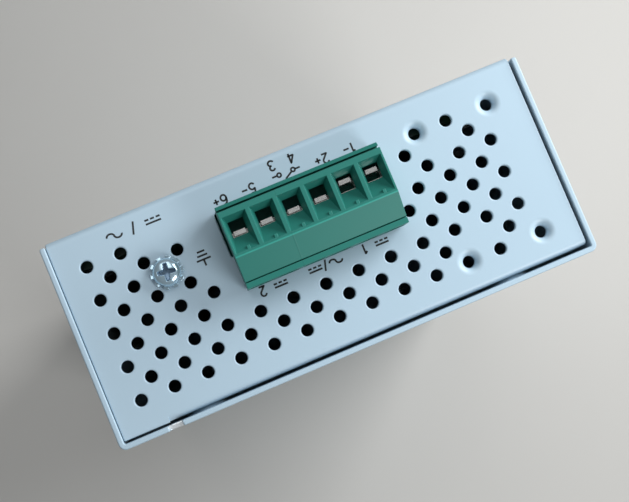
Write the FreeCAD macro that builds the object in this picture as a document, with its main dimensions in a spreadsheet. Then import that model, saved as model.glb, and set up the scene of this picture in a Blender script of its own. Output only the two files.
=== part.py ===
"""Ethernet switch: a folded steel case with a vented top and a pluggable screw terminal block.

The row frame has the case's bottom centre at its origin. X runs across the case, from the tray's side
wall to the cover's, Y from the front with the sockets to the rear with the rail bracket, and Z up to the
vented top with the terminal block. All sizes are in millimetres.
"""
import FreeCAD, Part
import os
from types import SimpleNamespace

import Sketcher

Vector = FreeCAD.Vector
Rotation = FreeCAD.Rotation

# The driving dimensions
SIZES = {
    # The case
    "case_width": 39.0,
    "case_depth": 93.0,
    "case_height": 140.0,
    "sheet": 1.0,
    "bend_inside": 0.3,
    "tray_front_gap": 0.1,
    "tray_rear_gap": 0.45,
    "lip_gap": 0.6,
    "lip_drop": 10.0,
    "lip_start": 8.6,
    "corner_gap": 0.15,
    "corner_relief": 1.5,
    "cover_short": 0.6,
    "cover_edge_round": 0.4,
    "cover_proud": 0.5,
    "notch_front": 9.2,
    "notch_wide": 2.6,
    "notch_deep": 1.5,
    # The round vents, on a staggered grid of half steps
    "vent_step": 3.175,
    "vent_bore": 2.25,
    "vent_side": 6.6,
    "vent_front": 6.5,
    "vent_margin": 0.4,
    # The pressed holes for a wall bracket, with their rims rolled inwards
    "wall_hole_bore": 2.25,
    "wall_hole_roll": 1.4,
    "wall_hole_press": 1.2,
    "wall_hole_span": 14.5,
    "wall_hole_rear": 8.2,
    "wall_hole_side": 5.4,
    # Machine screws and weld nuts
    "screw_shank": 2.9,
    "screw_hole": 3.2,
    "flat_head_wide": 5.6,
    "flat_head_deep": 1.3,
    "pan_head_wide": 5.5,
    "pan_head_high": 2.0,
    "recess_long": 3.2,
    "recess_wide": 0.75,
    "recess_deep": 1.1,
    "nut_wide": 6.0,
    "nut_thick": 2.0,
    "nut_bore": 3.0,
    "cover_screw_front": 16.5,
    "cover_screw_edge": 5.5,
    "cover_screw_long": 6.0,
    "earth_screw_long": 5.0,
    "earth_crown_round": 1.2,
    "washer_wide": 5.2,
    "washer_thick": 0.6,
    "washer_tooth": 0.6,
    "washer_tooth_wide": 0.9,
    # The board on its standoffs
    "board_standoff": 4.0,
    "board_thick": 1.6,
    "board_front": 2.5,
    "board_rear": 8.5,
    "board_margin": 4.0,
    "board_hole_inset": 4.5,
    "standoff_wide": 5.6,
    "board_screw_long": 4.6,
    # The terminal block
    "pole_pitch": 5.08,
    "terminal_middle": -0.15,
    "cutout_back": 0.1,
    "cutout_wide": 8.3,
    "cutout_long": 31.1,
    "plug_lift": 0.4,
    "plug_back": 0.25,
    "plug_ledge_edge": 7.6,
    "plug_ledge_front": 0.45,
    "plug_ledge_high": 8.2,
    "plug_groove_floor": 6.4,
    "plug_rim_back": 0.9,
    "plug_high": 9.0,
    "plug_ridge": 9.2,
    "plug_slope_end": 13.65,
    "plug_slope_high": 6.9,
    "plug_step_floor": 6.2,
    "plug_step_gap": 0.2,
    "plug_step_high": 7.0,
    "plug_front": 14.85,
    "plug_front_high": 6.8,
    "nose_back": 1.0,
    "nose_front": 7.5,
    "nose_deep": 11.0,
    "nose_long": 30.0,
    "mouth_back": 2.0,
    "mouth_front": 8.7,
    "mouth_wide": 4.3,
    "throat_back": 2.9,
    "throat_front": 5.7,
    "throat_wide": 2.8,
    "throat_high": 6.4,
    "nub_back": 7.95,
    "nub_long": 0.85,
    "nub_wide": 0.6,
    "nub_aside": 0.3,
    "nub_low": 8.0,
    "nub_high": 0.95,
    "cavity_back": 2.0,
    "cavity_front": 10.6,
    "cavity_wide": 4.3,
    "cavity_low": 1.0,
    "cage_clear": 0.2,
    "cage_side": 0.4,
    "cage_wide": 4.0,
    "jaw_thick": 0.8,
    "jaw_wide": 2.15,
    "jaw_gap": 0.1,
    "sleeve_high": 3.4,
    "cage_nut_thick": 1.5,
    "bar_back": 5.62,
    "bar_thick": 1.0,
    "bar_wide": 2.8,
    "bar_high": 5.9,
    "clamp_screw_high": 3.7,
    "clamp_head_seat": 11.4,
    "clamp_head_wide": 3.8,
    "clamp_head_thick": 1.7,
    "clamp_head_clear": 0.15,
    "clamp_slot_wide": 0.8,
    "clamp_slot_deep": 0.8,
    "clamp_open": 1.25,
    "header_tall": 8.5,
    "header_deep": 8.2,
    "header_drop": 5.0,
    "header_wall": 0.8,
    "header_floor": 1.2,
    "nose_clear": 0.2,
    "pin_thick": 1.0,
    "pin_clear": 0.05,
    "pin_reach": 7.0,
    "pin_bend": 1.5,
    "pin_tail": 1.2,
    "pin_hole": 1.6,
    # The sockets on the front
    "jack_pitch": 18.0,
    "jack_first": 24.0,
    "jack_tall": 13.4,
    "jack_wide": 16.0,
    "jack_deep": 21.0,
    "jack_proud": 0.2,
    "jack_clear": 0.2,
    "shield_sheet": 0.3,
    "socket_wide": 11.8,
    "socket_high": 6.8,
    "socket_floor": 2.6,
    "socket_deep": 15.0,
    "latch_wide": 6.2,
    "latch_high": 1.6,
    "catch_wide": 3.3,
    "catch_high": 1.3,
    "contact_pitch": 1.02,
    "contact_wide": 0.4,
    "contact_thick": 0.3,
    "contact_long": 9.0,
    "contact_lift": 0.2,
    "contact_inset": 4.0,
    # The status lights
    "light_pitch": 6.0,
    "light_first": 112.0,
    "light_wide": 3.0,
    "light_high": 4.5,
    "light_proud": 0.6,
    "light_tip_wide": 2.0,
    "light_tip_long": 0.8,
    "light_clear": 0.15,
    "holder_high": 7.5,
    "holder_deep": 5.0,
    "holder_margin": 3.0,
    # What stands on the board
    "chip_wide": 20.0,
    "chip_thick": 1.6,
    "chip_rear": 26.0,
    "chip_level": 60.0,
    "sink_wide": 24.0,
    "sink_base": 2.0,
    "sink_high": 9.0,
    "sink_fin": 1.2,
    "transformer_deep": 9.0,
    "transformer_wide": 13.0,
    "transformer_high": 6.0,
    "transformer_gap": 4.0,
    "relay_long": 20.0,
    "relay_wide": 10.0,
    "relay_high": 12.0,
    "relay_rear": 48.0,
    "relay_level": 108.0,
    "part_round": 0.6,
    "capacitor_wide": 10.0,
    "capacitor_high": 16.0,
    "capacitor_spacing": 12.0,
    "capacitor_rear": 28.0,
    "capacitor_level": 112.0,
    "inductor_wide": 12.0,
    "inductor_high": 7.0,
    "inductor_rear": 22.0,
    "inductor_level": 92.0,
    "bridge_long": 8.2,
    "bridge_wide": 6.4,
    "bridge_high": 2.6,
    "bridge_rear": 44.0,
    "bridge_level": 90.0,
    "bridge_spacing": 10.0,
    "crystal_long": 11.0,
    "crystal_wide": 4.6,
    "crystal_high": 3.6,
    "crystal_rear": 26.0,
    "crystal_level": 40.0,
    # The bracket for a 35 mm mounting rail
    "rail_high": 35.0,
    "rail_clear": 0.3,
    "rail_sheet": 1.0,
    "rail_level": 70.0,
    "bracket_sheet": 1.5,
    "bracket_wide": 30.0,
    "bracket_bend": 0.4,
    "top_hook": 4.5,
    "bottom_hook": 2.8,
    "spring_room": 2.5,
    "spring_wire": 1.1,
    "spring_bow": 56.0,
    "spring_sweep": 24.0,
    "bracket_hole_x": 18.0,
    "bracket_hole_z": 18.0,
    "bracket_screw_long": 5.0,
}

VENT_ROWS = 9
VENT_COLUMNS = 25
EARTH_SPOT = (4, 2)
# The bottom's vents: (first column, last column, first row, last row)
BOTTOM_FIELD = (4, 20, 3, 5)
# Places on the vent grid that stay plain, in the same order
PLAIN_FIELDS = ((7, 17, 0, 5), (4, 18, 0, 0), (6, 18, 2, 2))
WALL_HOLE_CLEAR_STEPS = 1.42
POLES = 6
OPEN_POLES = (5, 6)
JACKS = 5
WAYS = 8
CONTACT_SLOPE = 11.0
LIGHTS = 3
SINK_SLOTS = 6
WASHER_TEETH = 10

doc = FreeCAD.newDocument("ethernet_switch")
nodes = []


class Size:
    """A length with both its number and the sheet expression that it comes from."""

    def __init__(self, value, text):
        self.value = value
        self.text = text

    def __add__(self, other):
        other = as_size(other)
        return Size(self.value + other.value, f"({self.text} + {other.text})")

    def __sub__(self, other):
        other = as_size(other)
        return Size(self.value - other.value, f"({self.text} - {other.text})")

    def __mul__(self, factor):
        return Size(self.value * factor, f"{self.text} * {factor:.6g}")

    def __truediv__(self, divisor):
        return Size(self.value / divisor, f"{self.text} / {divisor:.6g}")

    def __neg__(self):
        return Size(-self.value, f"(0 - {self.text})")

    def __float__(self):
        return float(self.value)

    __radd__ = __add__
    __rmul__ = __mul__


def as_size(number):
    """Return a number as a Size, and a Size as it is."""
    if isinstance(number, Size):
        return number
    return Size(float(number), f"({number:.6g})")


def make_sheet():
    """Put the driving dimensions into a spreadsheet and return them by name."""
    sheet = doc.addObject("Spreadsheet::Sheet", "Sizes")
    named = {}
    for row, (alias, value) in enumerate(SIZES.items(), start=1):
        sheet.set(f"A{row}", alias)
        sheet.set(f"B{row}", f"{value:g}")
        sheet.setAlias(f"B{row}", alias)
        named[alias] = Size(value, f"Sizes.{alias}")
    doc.recompute()
    return SimpleNamespace(**named)


def bind(thing, **sizes):
    """Bind properties of an object to sheet expressions."""
    for name, size in sizes.items():
        thing.setExpression(name, as_size(size).text)


def place(thing, x, y, z, rotation=None):
    """Bind an object's place to sheet expressions, after turning it."""
    thing.Placement = FreeCAD.Placement(Vector(float(x), float(y), float(z)), rotation or Rotation())
    for axis, size in zip("xyz", (x, y, z)):
        thing.setExpression(f"Placement.Base.{axis}", as_size(size).text)


TURN = {
    "+X": Rotation(Vector(0, 1, 0), 90),
    "-X": Rotation(Vector(0, 1, 0), -90),
    "+Y": Rotation(Vector(1, 0, 0), -90),
    "-Y": Rotation(Vector(1, 0, 0), 90),
    "+Z": Rotation(),
    "-Z": Rotation(Vector(1, 0, 0), 180),
}


def block(name, x, y, z):
    """A box between two corners, given as a low and a high value along each axis."""
    box = doc.addObject("Part::Box", name)
    bind(box, Length=x[1] - x[0], Width=y[1] - y[0], Height=z[1] - z[0])
    place(box, x[0], y[0], z[0])
    return box


def rod(name, direction, diameter, length, start):
    """A cylinder that runs from a start point in one direction."""
    cylinder = doc.addObject("Part::Cylinder", name)
    bind(cylinder, Radius=diameter / 2, Height=length)
    place(cylinder, *start, TURN[direction])
    return cylinder


def cone(name, direction, first_diameter, last_diameter, length, start):
    """A cone frustum that runs from a start point in one direction."""
    frustum = doc.addObject("Part::Cone", name)
    bind(frustum, Radius1=first_diameter / 2, Radius2=last_diameter / 2, Height=length)
    place(frustum, *start, TURN[direction])
    return frustum


def fuse(name, pieces):
    """Join pieces into one solid."""
    joined = doc.addObject("Part::MultiFuse", name)
    joined.Shapes = pieces
    return joined


def cut(name, base, tools):
    """Take tools away from a base."""
    tool = tools[0] if len(tools) == 1 else fuse(name + "_tools", tools)
    rest = doc.addObject("Part::Cut", name)
    rest.Base = base
    rest.Tool = tool
    return rest


def group(name, pieces):
    """Like pieces that share a node as separate solids."""
    compound = doc.addObject("Part::Compound", name)
    compound.Links = pieces
    return compound


def keep(piece):
    """Mark a finished sub-part, which is written to a file of its own."""
    nodes.append(piece)
    return piece


def edges_along(shape, axis, spots):
    """Names of the straight edges along an axis that pass through spots in the plane across it."""
    index = "XYZ".index(axis)
    others = [number for number in range(3) if number != index]
    found = []
    for number, edge in enumerate(shape.Edges, start=1):
        first, last = edge.Vertexes[0].Point, edge.Vertexes[-1].Point
        along = all(abs(first[other] - last[other]) < 1e-6 for other in others)
        for spot in spots:
            near = all(abs(first[other] - float(value)) < 1e-4 for other, value in zip(others, spot))
            if along and near:
                found.append(f"Edge{number}")
                break
    return found


def rims_at(shape, level, spots):
    """Names of the round edges at one level that are centred on spots."""
    found = []
    for number, edge in enumerate(shape.Edges, start=1):
        if not isinstance(edge.Curve, Part.Circle):
            continue
        centre = edge.Curve.Center
        near = any(abs(centre.x - float(x)) + abs(centre.y - float(y)) < 1e-4 for x, y in spots)
        if near and abs(centre.z - float(level)) < 1e-4:
            found.append(f"Edge{number}")
    return found


def rounded(name, base, axis, radius):
    """Round a block's four edges along one axis."""
    doc.recompute()
    fillet = doc.addObject("Part::Fillet", name)
    fillet.Base = base
    box = base.Shape.BoundBox
    low = (box.XMin, box.YMin, box.ZMin)
    high = (box.XMax, box.YMax, box.ZMax)
    others = [number for number in range(3) if number != "XYZ".index(axis)]
    spots = [(a, b) for a in (low[others[0]], high[others[0]]) for b in (low[others[1]], high[others[1]])]
    names = edges_along(base.Shape, axis, spots)
    fillet.Edges = [(int(edge[4:]), float(radius), float(radius)) for edge in names]
    return fillet


class Piece:
    """A body with sketches on its own origin planes and the features that use them."""

    def __init__(self, name):
        self.name = name
        self.body = doc.addObject("PartDesign::Body", name)

    def plane(self, role):
        return next(item for item in self.body.Origin.OriginFeatures if item.Role == role)

    def sketch(self, name, role, offset):
        """An empty sketch on an origin plane, moved along the plane's normal."""
        sketch = self.body.newObject("Sketcher::SketchObject", f"{self.name}_{name}")
        sketch.AttachmentSupport = [(self.plane(role), "")]
        sketch.MapMode = "FlatFace"
        sketch.setExpression("AttachmentOffset.Base.z", as_size(offset).text)
        return sketch

    def feature(self, kind, name):
        return self.body.newObject(f"PartDesign::{kind}", f"{self.name}_{name}")

    def pad(self, sketch, length):
        pad = self.feature("Pad", "pad")
        pad.Profile = sketch
        bind(pad, Length=length)
        doc.recompute()
        return pad

    def pocket(self, sketch, length, reverse=False):
        pocket = self.feature("Pocket", "pocket")
        pocket.Profile = sketch
        pocket.Reversed = reverse
        bind(pocket, Length=length)
        doc.recompute()
        return pocket

    def fillet(self, axis, spots, radius):
        """Round the edges along an axis that pass through the given spots."""
        base = self.body.Tip
        fillet = self.feature("Fillet", "fillet")
        fillet.Base = (base, edges_along(base.Shape, axis, spots))
        bind(fillet, Radius=radius)
        doc.recompute()
        return fillet

    def roll(self, level, spots, radius):
        """Roll the rims of round holes at one level into the holes."""
        base = self.body.Tip
        fillet = self.feature("Fillet", "roll")
        fillet.Base = (base, rims_at(base.Shape, level, spots))
        bind(fillet, Radius=radius)
        doc.recompute()
        return fillet

    def cone(self, kind, direction, first_diameter, last_diameter, length, start):
        """A cone frustum that is added to the body or taken from it."""
        frustum = self.feature(kind + "Cone", "cone")
        bind(frustum, Radius1=first_diameter / 2, Radius2=last_diameter / 2, Height=length)
        place(frustum, *start, TURN[direction])
        return frustum

    def box(self, kind, x, y, z):
        """A box that is added to the body or taken from it."""
        box = self.feature(kind + "Box", "box")
        bind(box, Length=x[1] - x[0], Width=y[1] - y[0], Height=z[1] - z[0])
        place(box, x[0], y[0], z[0])
        return box


def pin_down(sketch, geometry, point, x, y):
    """Fix a sketch point by its distances from the sketch's origin."""
    for kind, size in (("DistanceX", x), ("DistanceY", y)):
        size = as_size(size)
        number = sketch.addConstraint(Sketcher.Constraint(kind, -1, 1, geometry, point, size.value))
        sketch.setExpression(f"Constraints[{number}]", size.text)


def polygon(sketch, corners):
    """A closed outline through corners, each fixed by its two coordinates."""
    ends = corners[1:] + corners[:1]
    lines = []
    for (x1, y1), (x2, y2) in zip(corners, ends):
        start = Vector(float(x1), float(y1), 0)
        end = Vector(float(x2), float(y2), 0)
        lines.append(sketch.addGeometry(Part.LineSegment(start, end), False))
    for line, following in zip(lines, lines[1:] + lines[:1]):
        sketch.addConstraint(Sketcher.Constraint("Coincident", line, 2, following, 1))
    for line, (x, y) in zip(lines, corners):
        pin_down(sketch, line, 1, x, y)


def rectangle(sketch, x, y):
    """A rectangle between a low and a high value along each sketch axis."""
    polygon(sketch, [(x[0], y[0]), (x[1], y[0]), (x[1], y[1]), (x[0], y[1])])


def circle(sketch, x, y, diameter):
    """A circle fixed by its centre and size."""
    centre = Vector(float(x), float(y), 0)
    ring = sketch.addGeometry(Part.Circle(centre, Vector(0, 0, 1), float(diameter) / 2), False)
    pin_down(sketch, ring, 3, x, y)
    number = sketch.addConstraint(Sketcher.Constraint("Diameter", ring, float(diameter)))
    sketch.setExpression(f"Constraints[{number}]", as_size(diameter).text)


s = make_sheet()

# Faces and levels that several pieces share
left = -s.case_width / 2
right = s.case_width / 2
front = -s.case_depth / 2
rear = s.case_depth / 2
top = s.case_height
cover_low = as_size(0)
cover_high = top + s.cover_proud
bottom = cover_low + s.cover_proud
tray_front = front + s.sheet + s.tray_front_gap
tray_rear = rear - s.sheet - s.tray_rear_gap
lip_face = right - s.sheet - s.lip_gap
inner_lip = lip_face - s.sheet
board_back = left + s.sheet + s.board_standoff
board_face = board_back + s.board_thick
terminal_y = (front + rear) / 2 + s.terminal_middle
cutout_x = board_face - s.cutout_back
first_pole_y = terminal_y - s.pole_pitch * ((POLES - 1) / 2)
pin_level = top - s.header_drop - s.header_deep - s.pin_bend
cover_screw_spots = [
    (y, z)
    for y in (front + s.cover_screw_front, rear - s.cover_screw_front)
    for z in (bottom + s.cover_screw_edge, top - s.cover_screw_edge)
]
board_low = bottom + s.board_margin
board_high = top - s.board_margin
board_start = front + s.board_front
board_end = rear - s.board_rear
board_hole_spots = [
    (y, z)
    for y in (board_start + s.board_hole_inset, board_end - s.board_hole_inset)
    for z in (board_low + s.board_hole_inset, board_high - s.board_hole_inset)
]
jack_levels = [s.jack_first + s.jack_pitch * number for number in range(JACKS)]
light_levels = [s.light_first + s.light_pitch * number for number in range(LIGHTS)]
light_x = board_face + s.light_high
bracket_face = rear + s.bracket_sheet
bracket_spots = [
    (x, s.rail_level + z)
    for x in (-s.bracket_hole_x / 2, s.bracket_hole_x / 2)
    for z in (-s.bracket_hole_z / 2, s.bracket_hole_z / 2)
]


def pole_y(pole):
    """The Y place of a pole, counted from 1 at the front end."""
    return first_pole_y + s.pole_pitch * (pole - 1)


def vent_x(row):
    """The X place of a row of the vent grid."""
    return left + s.vent_side + s.vent_step * row


def vent_y(column):
    """The Y place of a column of the vent grid."""
    return front + s.vent_front + s.vent_step * column


wall_hole_ys = (rear - s.wall_hole_rear - s.wall_hole_span, rear - s.wall_hole_rear)
wall_hole_xs = (vent_x(0), lip_face - s.wall_hole_side)
wall_hole_spots = [(x, y) for x in wall_hole_xs for y in wall_hole_ys]
earth_x = vent_x(EARTH_SPOT[1])
earth_y = vent_y(EARTH_SPOT[0])


def in_field(column, row, field):
    """Tell whether a place on the vent grid lies in a field."""
    return field[0] <= column <= field[1] and field[2] <= row <= field[3]


def near_wall_hole(column, row):
    """Tell whether a place on the vent grid is too close to a wall bracket hole."""
    reach = WALL_HOLE_CLEAR_STEPS * s.vent_step.value
    for x, y in wall_hole_spots:
        across = vent_x(row).value - x.value
        along = vent_y(column).value - y.value
        if (across ** 2 + along ** 2) ** 0.5 < reach:
            return True
    return False


def has_room(x, y):
    """Tell whether a vent leaves a margin of sheet at the plate's edges and beside the terminal cutout."""
    reach = s.vent_bore.value / 2 + s.vent_margin.value
    beside_x = max(cutout_x.value - x.value, x.value - cutout_x.value - s.cutout_wide.value)
    beside_y = abs(y.value - terminal_y.value) - s.cutout_long.value / 2
    on_plate = x.value + reach < inner_lip.value and y.value + reach < tray_rear.value
    return on_plate and max(beside_x, beside_y) > reach


def vent_grid():
    """The staggered grid's places, as columns and rows."""
    return [(column, row) for row in range(VENT_ROWS) for column in range(row % 2, VENT_COLUMNS, 2)]


def top_vents():
    """The top's vents: the grid without the plain fields, the earth screw and the wall bracket holes."""
    spots = []
    for column, row in vent_grid():
        plain = any(in_field(column, row, field) for field in PLAIN_FIELDS)
        spot = (vent_x(row), vent_y(column))
        if not plain and (column, row) != EARTH_SPOT and not near_wall_hole(column, row) and has_room(*spot):
            spots.append(spot)
    return spots


def bottom_vents():
    """The bottom's vents: a smaller field of the same grid."""
    spots = [spot for spot in vent_grid() if in_field(*spot, BOTTOM_FIELD)]
    return [(vent_x(row), vent_y(column)) for column, row in spots]


def make_tray():
    """Side wall, top and bottom with return lips: one folded sheet with punched and pressed holes."""
    piece = Piece("chassis_tray")
    wall = left + s.sheet
    floor = bottom + s.sheet
    ceiling = top - s.sheet
    profile = piece.sketch("profile", "XZ_Plane", -tray_rear)
    polygon(profile, [
        (left, bottom), (lip_face, bottom), (lip_face, bottom + s.lip_drop),
        (inner_lip, bottom + s.lip_drop), (inner_lip, floor), (wall, floor),
        (wall, ceiling), (inner_lip, ceiling), (inner_lip, top - s.lip_drop),
        (lip_face, top - s.lip_drop), (lip_face, top), (left, top),
    ])
    piece.pad(profile, tray_rear - tray_front)
    outside = [(x, z) for x in (left, lip_face) for z in (bottom, top)]
    piece.fillet("Y", outside, s.sheet + s.bend_inside)
    inside = [(x, z) for x in (wall, inner_lip) for z in (floor, ceiling)]
    piece.fillet("Y", inside, s.bend_inside)
    corner = (lip_face - s.corner_relief, lip_face + s.corner_gap)
    corner_y = (tray_front, tray_front + s.lip_start)
    piece.box("Subtractive", corner, corner_y, (bottom, top))
    piece.box("Additive", corner, corner_y, (ceiling, top))
    piece.box("Additive", corner, corner_y, (bottom, floor))
    for x, y in wall_hole_spots:
        piece.cone("Additive", "-Z", s.wall_hole_bore + s.wall_hole_roll * 2, s.wall_hole_bore + s.sheet * 2,
                   s.wall_hole_press, (x, y, ceiling))
    doc.recompute()
    punched = piece.sketch("punched_top", "XY_Plane", top)
    for x, y in top_vents():
        circle(punched, x, y, s.vent_bore)
    for x, y in wall_hole_spots:
        circle(punched, x, y, s.wall_hole_bore)
    circle(punched, earth_x, earth_y, s.screw_hole)
    rectangle(punched, (cutout_x, cutout_x + s.cutout_wide),
              (terminal_y - s.cutout_long / 2, terminal_y + s.cutout_long / 2))
    piece.pocket(punched, s.sheet + s.wall_hole_press)
    piece.roll(top, wall_hole_spots, s.wall_hole_roll)
    vents = piece.sketch("punched_bottom", "XY_Plane", bottom)
    for x, y in bottom_vents():
        circle(vents, x, y, s.vent_bore)
    piece.pocket(vents, s.sheet, reverse=True)
    lips = piece.sketch("lip_holes", "YZ_Plane", lip_face)
    for y, z in cover_screw_spots:
        circle(lips, y, z, s.screw_hole)
    piece.pocket(lips, s.sheet)
    keep(piece.body)


def make_cover():
    """Front, side wall and rear: one sheet folded round the tray, with dimples that seat on its lips."""
    piece = Piece("cover")
    edge = left + s.cover_short
    inner_front = front + s.sheet
    inner_rear = rear - s.sheet
    inner_right = right - s.sheet
    profile = piece.sketch("profile", "XY_Plane", cover_low)
    polygon(profile, [
        (edge, front), (right, front), (right, rear), (edge, rear),
        (edge, inner_rear), (inner_right, inner_rear), (inner_right, inner_front), (edge, inner_front),
    ])
    piece.pad(profile, cover_high - cover_low)
    piece.fillet("Z", [(right, front), (right, rear)], s.sheet + s.bend_inside)
    piece.fillet("Z", [(inner_right, inner_front), (inner_right, inner_rear)], s.bend_inside)
    piece.fillet("Z", [(edge, front), (edge, rear)], s.cover_edge_round)
    for y, z in cover_screw_spots:
        piece.cone("Additive", "-X", s.flat_head_wide + s.sheet * 2, s.flat_head_wide,
                   s.lip_gap, (inner_right, y, z))
    doc.recompute()
    side = piece.sketch("side_holes", "YZ_Plane", right)
    for y, z in cover_screw_spots:
        circle(side, y, z, s.screw_hole)
    piece.pocket(side, s.sheet + s.lip_gap)
    for y, z in cover_screw_spots:
        piece.cone("Subtractive", "-X", s.flat_head_wide, s.screw_hole, s.flat_head_deep, (right, y, z))
    notch_y = (front + s.notch_front, front + s.notch_front + s.notch_wide)
    piece.box("Subtractive", (inner_right, right), notch_y, (top - s.notch_deep, cover_high))
    doc.recompute()
    openings = piece.sketch("front_openings", "XZ_Plane", -front)
    for level in jack_levels:
        half = s.jack_wide / 2 + s.jack_clear
        rectangle(openings, (board_face - s.jack_clear, board_face + s.jack_tall + s.jack_clear),
                  (level - half, level + half))
    for level in light_levels:
        circle(openings, light_x, level, s.light_wide + s.light_clear * 2)
    piece.pocket(openings, s.sheet)
    back = piece.sketch("rear_holes", "XZ_Plane", -inner_rear)
    for x, z in bracket_spots:
        circle(back, x, z, s.screw_hole)
    piece.pocket(back, s.sheet)
    keep(piece.body)


def flat_screw(name, direction, length, start):
    """A flat head screw with a cross recess, from its head's face in one direction."""
    head = cone(name + "_head", direction, s.flat_head_wide, s.screw_shank, s.flat_head_deep, start)
    shank = rod(name + "_shank", direction, s.screw_shank, length, start)
    return cut(name, fuse(name + "_blank", [head, shank]), recess(name, direction, start))


def recess(name, direction, start):
    """The two crossing slots of a screw's recess, cut in from the head's face."""
    axis = "XYZ".index(direction[1])
    others = [number for number in range(3) if number != axis]
    slots = []
    for long_axis in others:
        spans = []
        for number in range(3):
            if number == axis:
                deep = s.recess_deep if direction[0] == "+" else -s.recess_deep
                spans.append(sorted((start[number], start[number] + deep), key=float))
            else:
                half = (s.recess_long if number == long_axis else s.recess_wide) / 2
                spans.append((start[number] - half, start[number] + half))
        slots.append(block(f"{name}_slot_{long_axis}", *spans))
    return slots


def cheese_screw(name, direction, length, seat, crown_round=None):
    """A cheese head screw with a cross recess, from its head's seat, with its crown rounded if asked."""
    axis = "XYZ".index(direction[1])
    back = s.pan_head_high * (-1 if direction[0] == "+" else 1)
    crown = tuple(value + back if number == axis else value for number, value in enumerate(seat))
    head = rod(name + "_head", direction, s.pan_head_wide, s.pan_head_high, crown)
    if crown_round:
        doc.recompute()
        soft = doc.addObject("Part::Fillet", name + "_crown")
        soft.Base = head
        rim = [number for number, edge in enumerate(head.Shape.Edges, start=1)
               if abs(edge.CenterOfMass[axis] - float(crown[axis])) < 1e-6]
        soft.Edges = [(number, float(crown_round), float(crown_round)) for number in rim]
        head = soft
    shank = rod(name + "_shank", direction, s.screw_shank, length, seat)
    return cut(name, fuse(name + "_blank", [head, shank]), recess(name, direction, crown))


def hex_nut(name, direction, corners, thick, start):
    """A six-sided nut or standoff with a threaded bore, given its width across corners."""
    blank = doc.addObject("Part::Prism", name + "_blank")
    blank.Polygon = 6
    bind(blank, Circumradius=corners / 2, Height=thick)
    place(blank, *start, TURN[direction])
    return cut(name, blank, [rod(name + "_bore", direction, s.nut_bore, thick, start)])


def make_cover_screws():
    """Flat head screws through the cover's dimples, and the weld nuts on the tray's lips."""
    screws = []
    nuts = []
    for number, (y, z) in enumerate(cover_screw_spots):
        screws.append(flat_screw(f"cover_screw_{number}", "-X", s.cover_screw_long, (right, y, z)))
        nuts.append(hex_nut(f"cover_nut_{number}", "-X", s.nut_wide, s.nut_thick, (lip_face - s.sheet, y, z)))
    keep(group("cover_screws", screws))
    keep(group("cover_nuts", nuts))


def make_earth_screw():
    """Earth screw with its toothed lock washer on the top, and the weld nut below."""
    seat = top + s.washer_thick
    keep(cheese_screw("earth_screw", "-Z", s.earth_screw_long + s.washer_thick, (earth_x, earth_y, seat),
                      s.earth_crown_round))
    disc = rod("washer_disc", "+Z", s.washer_wide, s.washer_thick, (earth_x, earth_y, top))
    teeth = []
    for number in range(WASHER_TEETH):
        turn = Rotation(Vector(0, 0, 1), 360 / WASHER_TEETH * number)
        side = turn.multVec(Vector(0, -1, 0))
        half = s.washer_tooth_wide / 2
        tooth = doc.addObject("Part::Box", f"washer_tooth_{number}")
        bind(tooth, Length=s.washer_wide / 2 + s.washer_tooth, Width=half * 2, Height=s.washer_thick)
        place(tooth, earth_x + half * side.x, earth_y + half * side.y, top, turn)
        teeth.append(tooth)
    bore = rod("washer_bore", "+Z", s.screw_hole, s.washer_thick, (earth_x, earth_y, top))
    keep(cut("earth_washer", fuse("washer_star", [disc] + teeth), [bore]))
    keep(hex_nut("earth_nut", "-Z", s.nut_wide, s.nut_thick, (earth_x, earth_y, top - s.sheet)))


def make_header():
    """Header on the board below the top, open upwards, with its angled pins."""
    piece = Piece("terminal_header")
    high = top - s.header_drop
    low = high - s.header_deep
    room_half = s.nose_long / 2 + s.nose_clear
    outer_half = room_half + s.header_wall
    room = (board_face + s.nose_back - s.nose_clear, board_face + s.nose_front + s.nose_clear)
    outline = piece.sketch("outline", "XY_Plane", low)
    rectangle(outline, (board_face, board_face + s.header_tall),
              (terminal_y - outer_half, terminal_y + outer_half))
    piece.pad(outline, s.header_deep)
    well = piece.sketch("well", "XY_Plane", high)
    rectangle(well, room, (terminal_y - room_half, terminal_y + room_half))
    piece.pocket(well, s.header_deep - s.header_floor)
    holes = piece.sketch("pin_holes", "XY_Plane", low + s.header_floor)
    pin_x = board_face + s.bar_back
    for pole in range(1, POLES + 1):
        y = pole_y(pole)
        rectangle(holes, (pin_x - s.pin_clear, pin_x + s.pin_thick + s.pin_clear),
                  (y - s.pin_thick / 2 - s.pin_clear, y + s.pin_thick / 2 + s.pin_clear))
    piece.pocket(holes, s.header_floor)
    keep(piece.body)
    pins = []
    for pole in range(1, POLES + 1):
        y = (pole_y(pole) - s.pin_thick / 2, pole_y(pole) + s.pin_thick / 2)
        post = block(f"pin_post_{pole}", (pin_x, pin_x + s.pin_thick), y,
                     (pin_level - s.pin_thick / 2, low + s.header_floor + s.pin_reach))
        tail = block(f"pin_tail_{pole}", (board_back - s.pin_tail, pin_x), y,
                     (pin_level - s.pin_thick / 2, pin_level + s.pin_thick / 2))
        pins.append(fuse(f"header_pin_{pole}", [post, tail]))
    keep(group("header_pins", pins))


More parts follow.
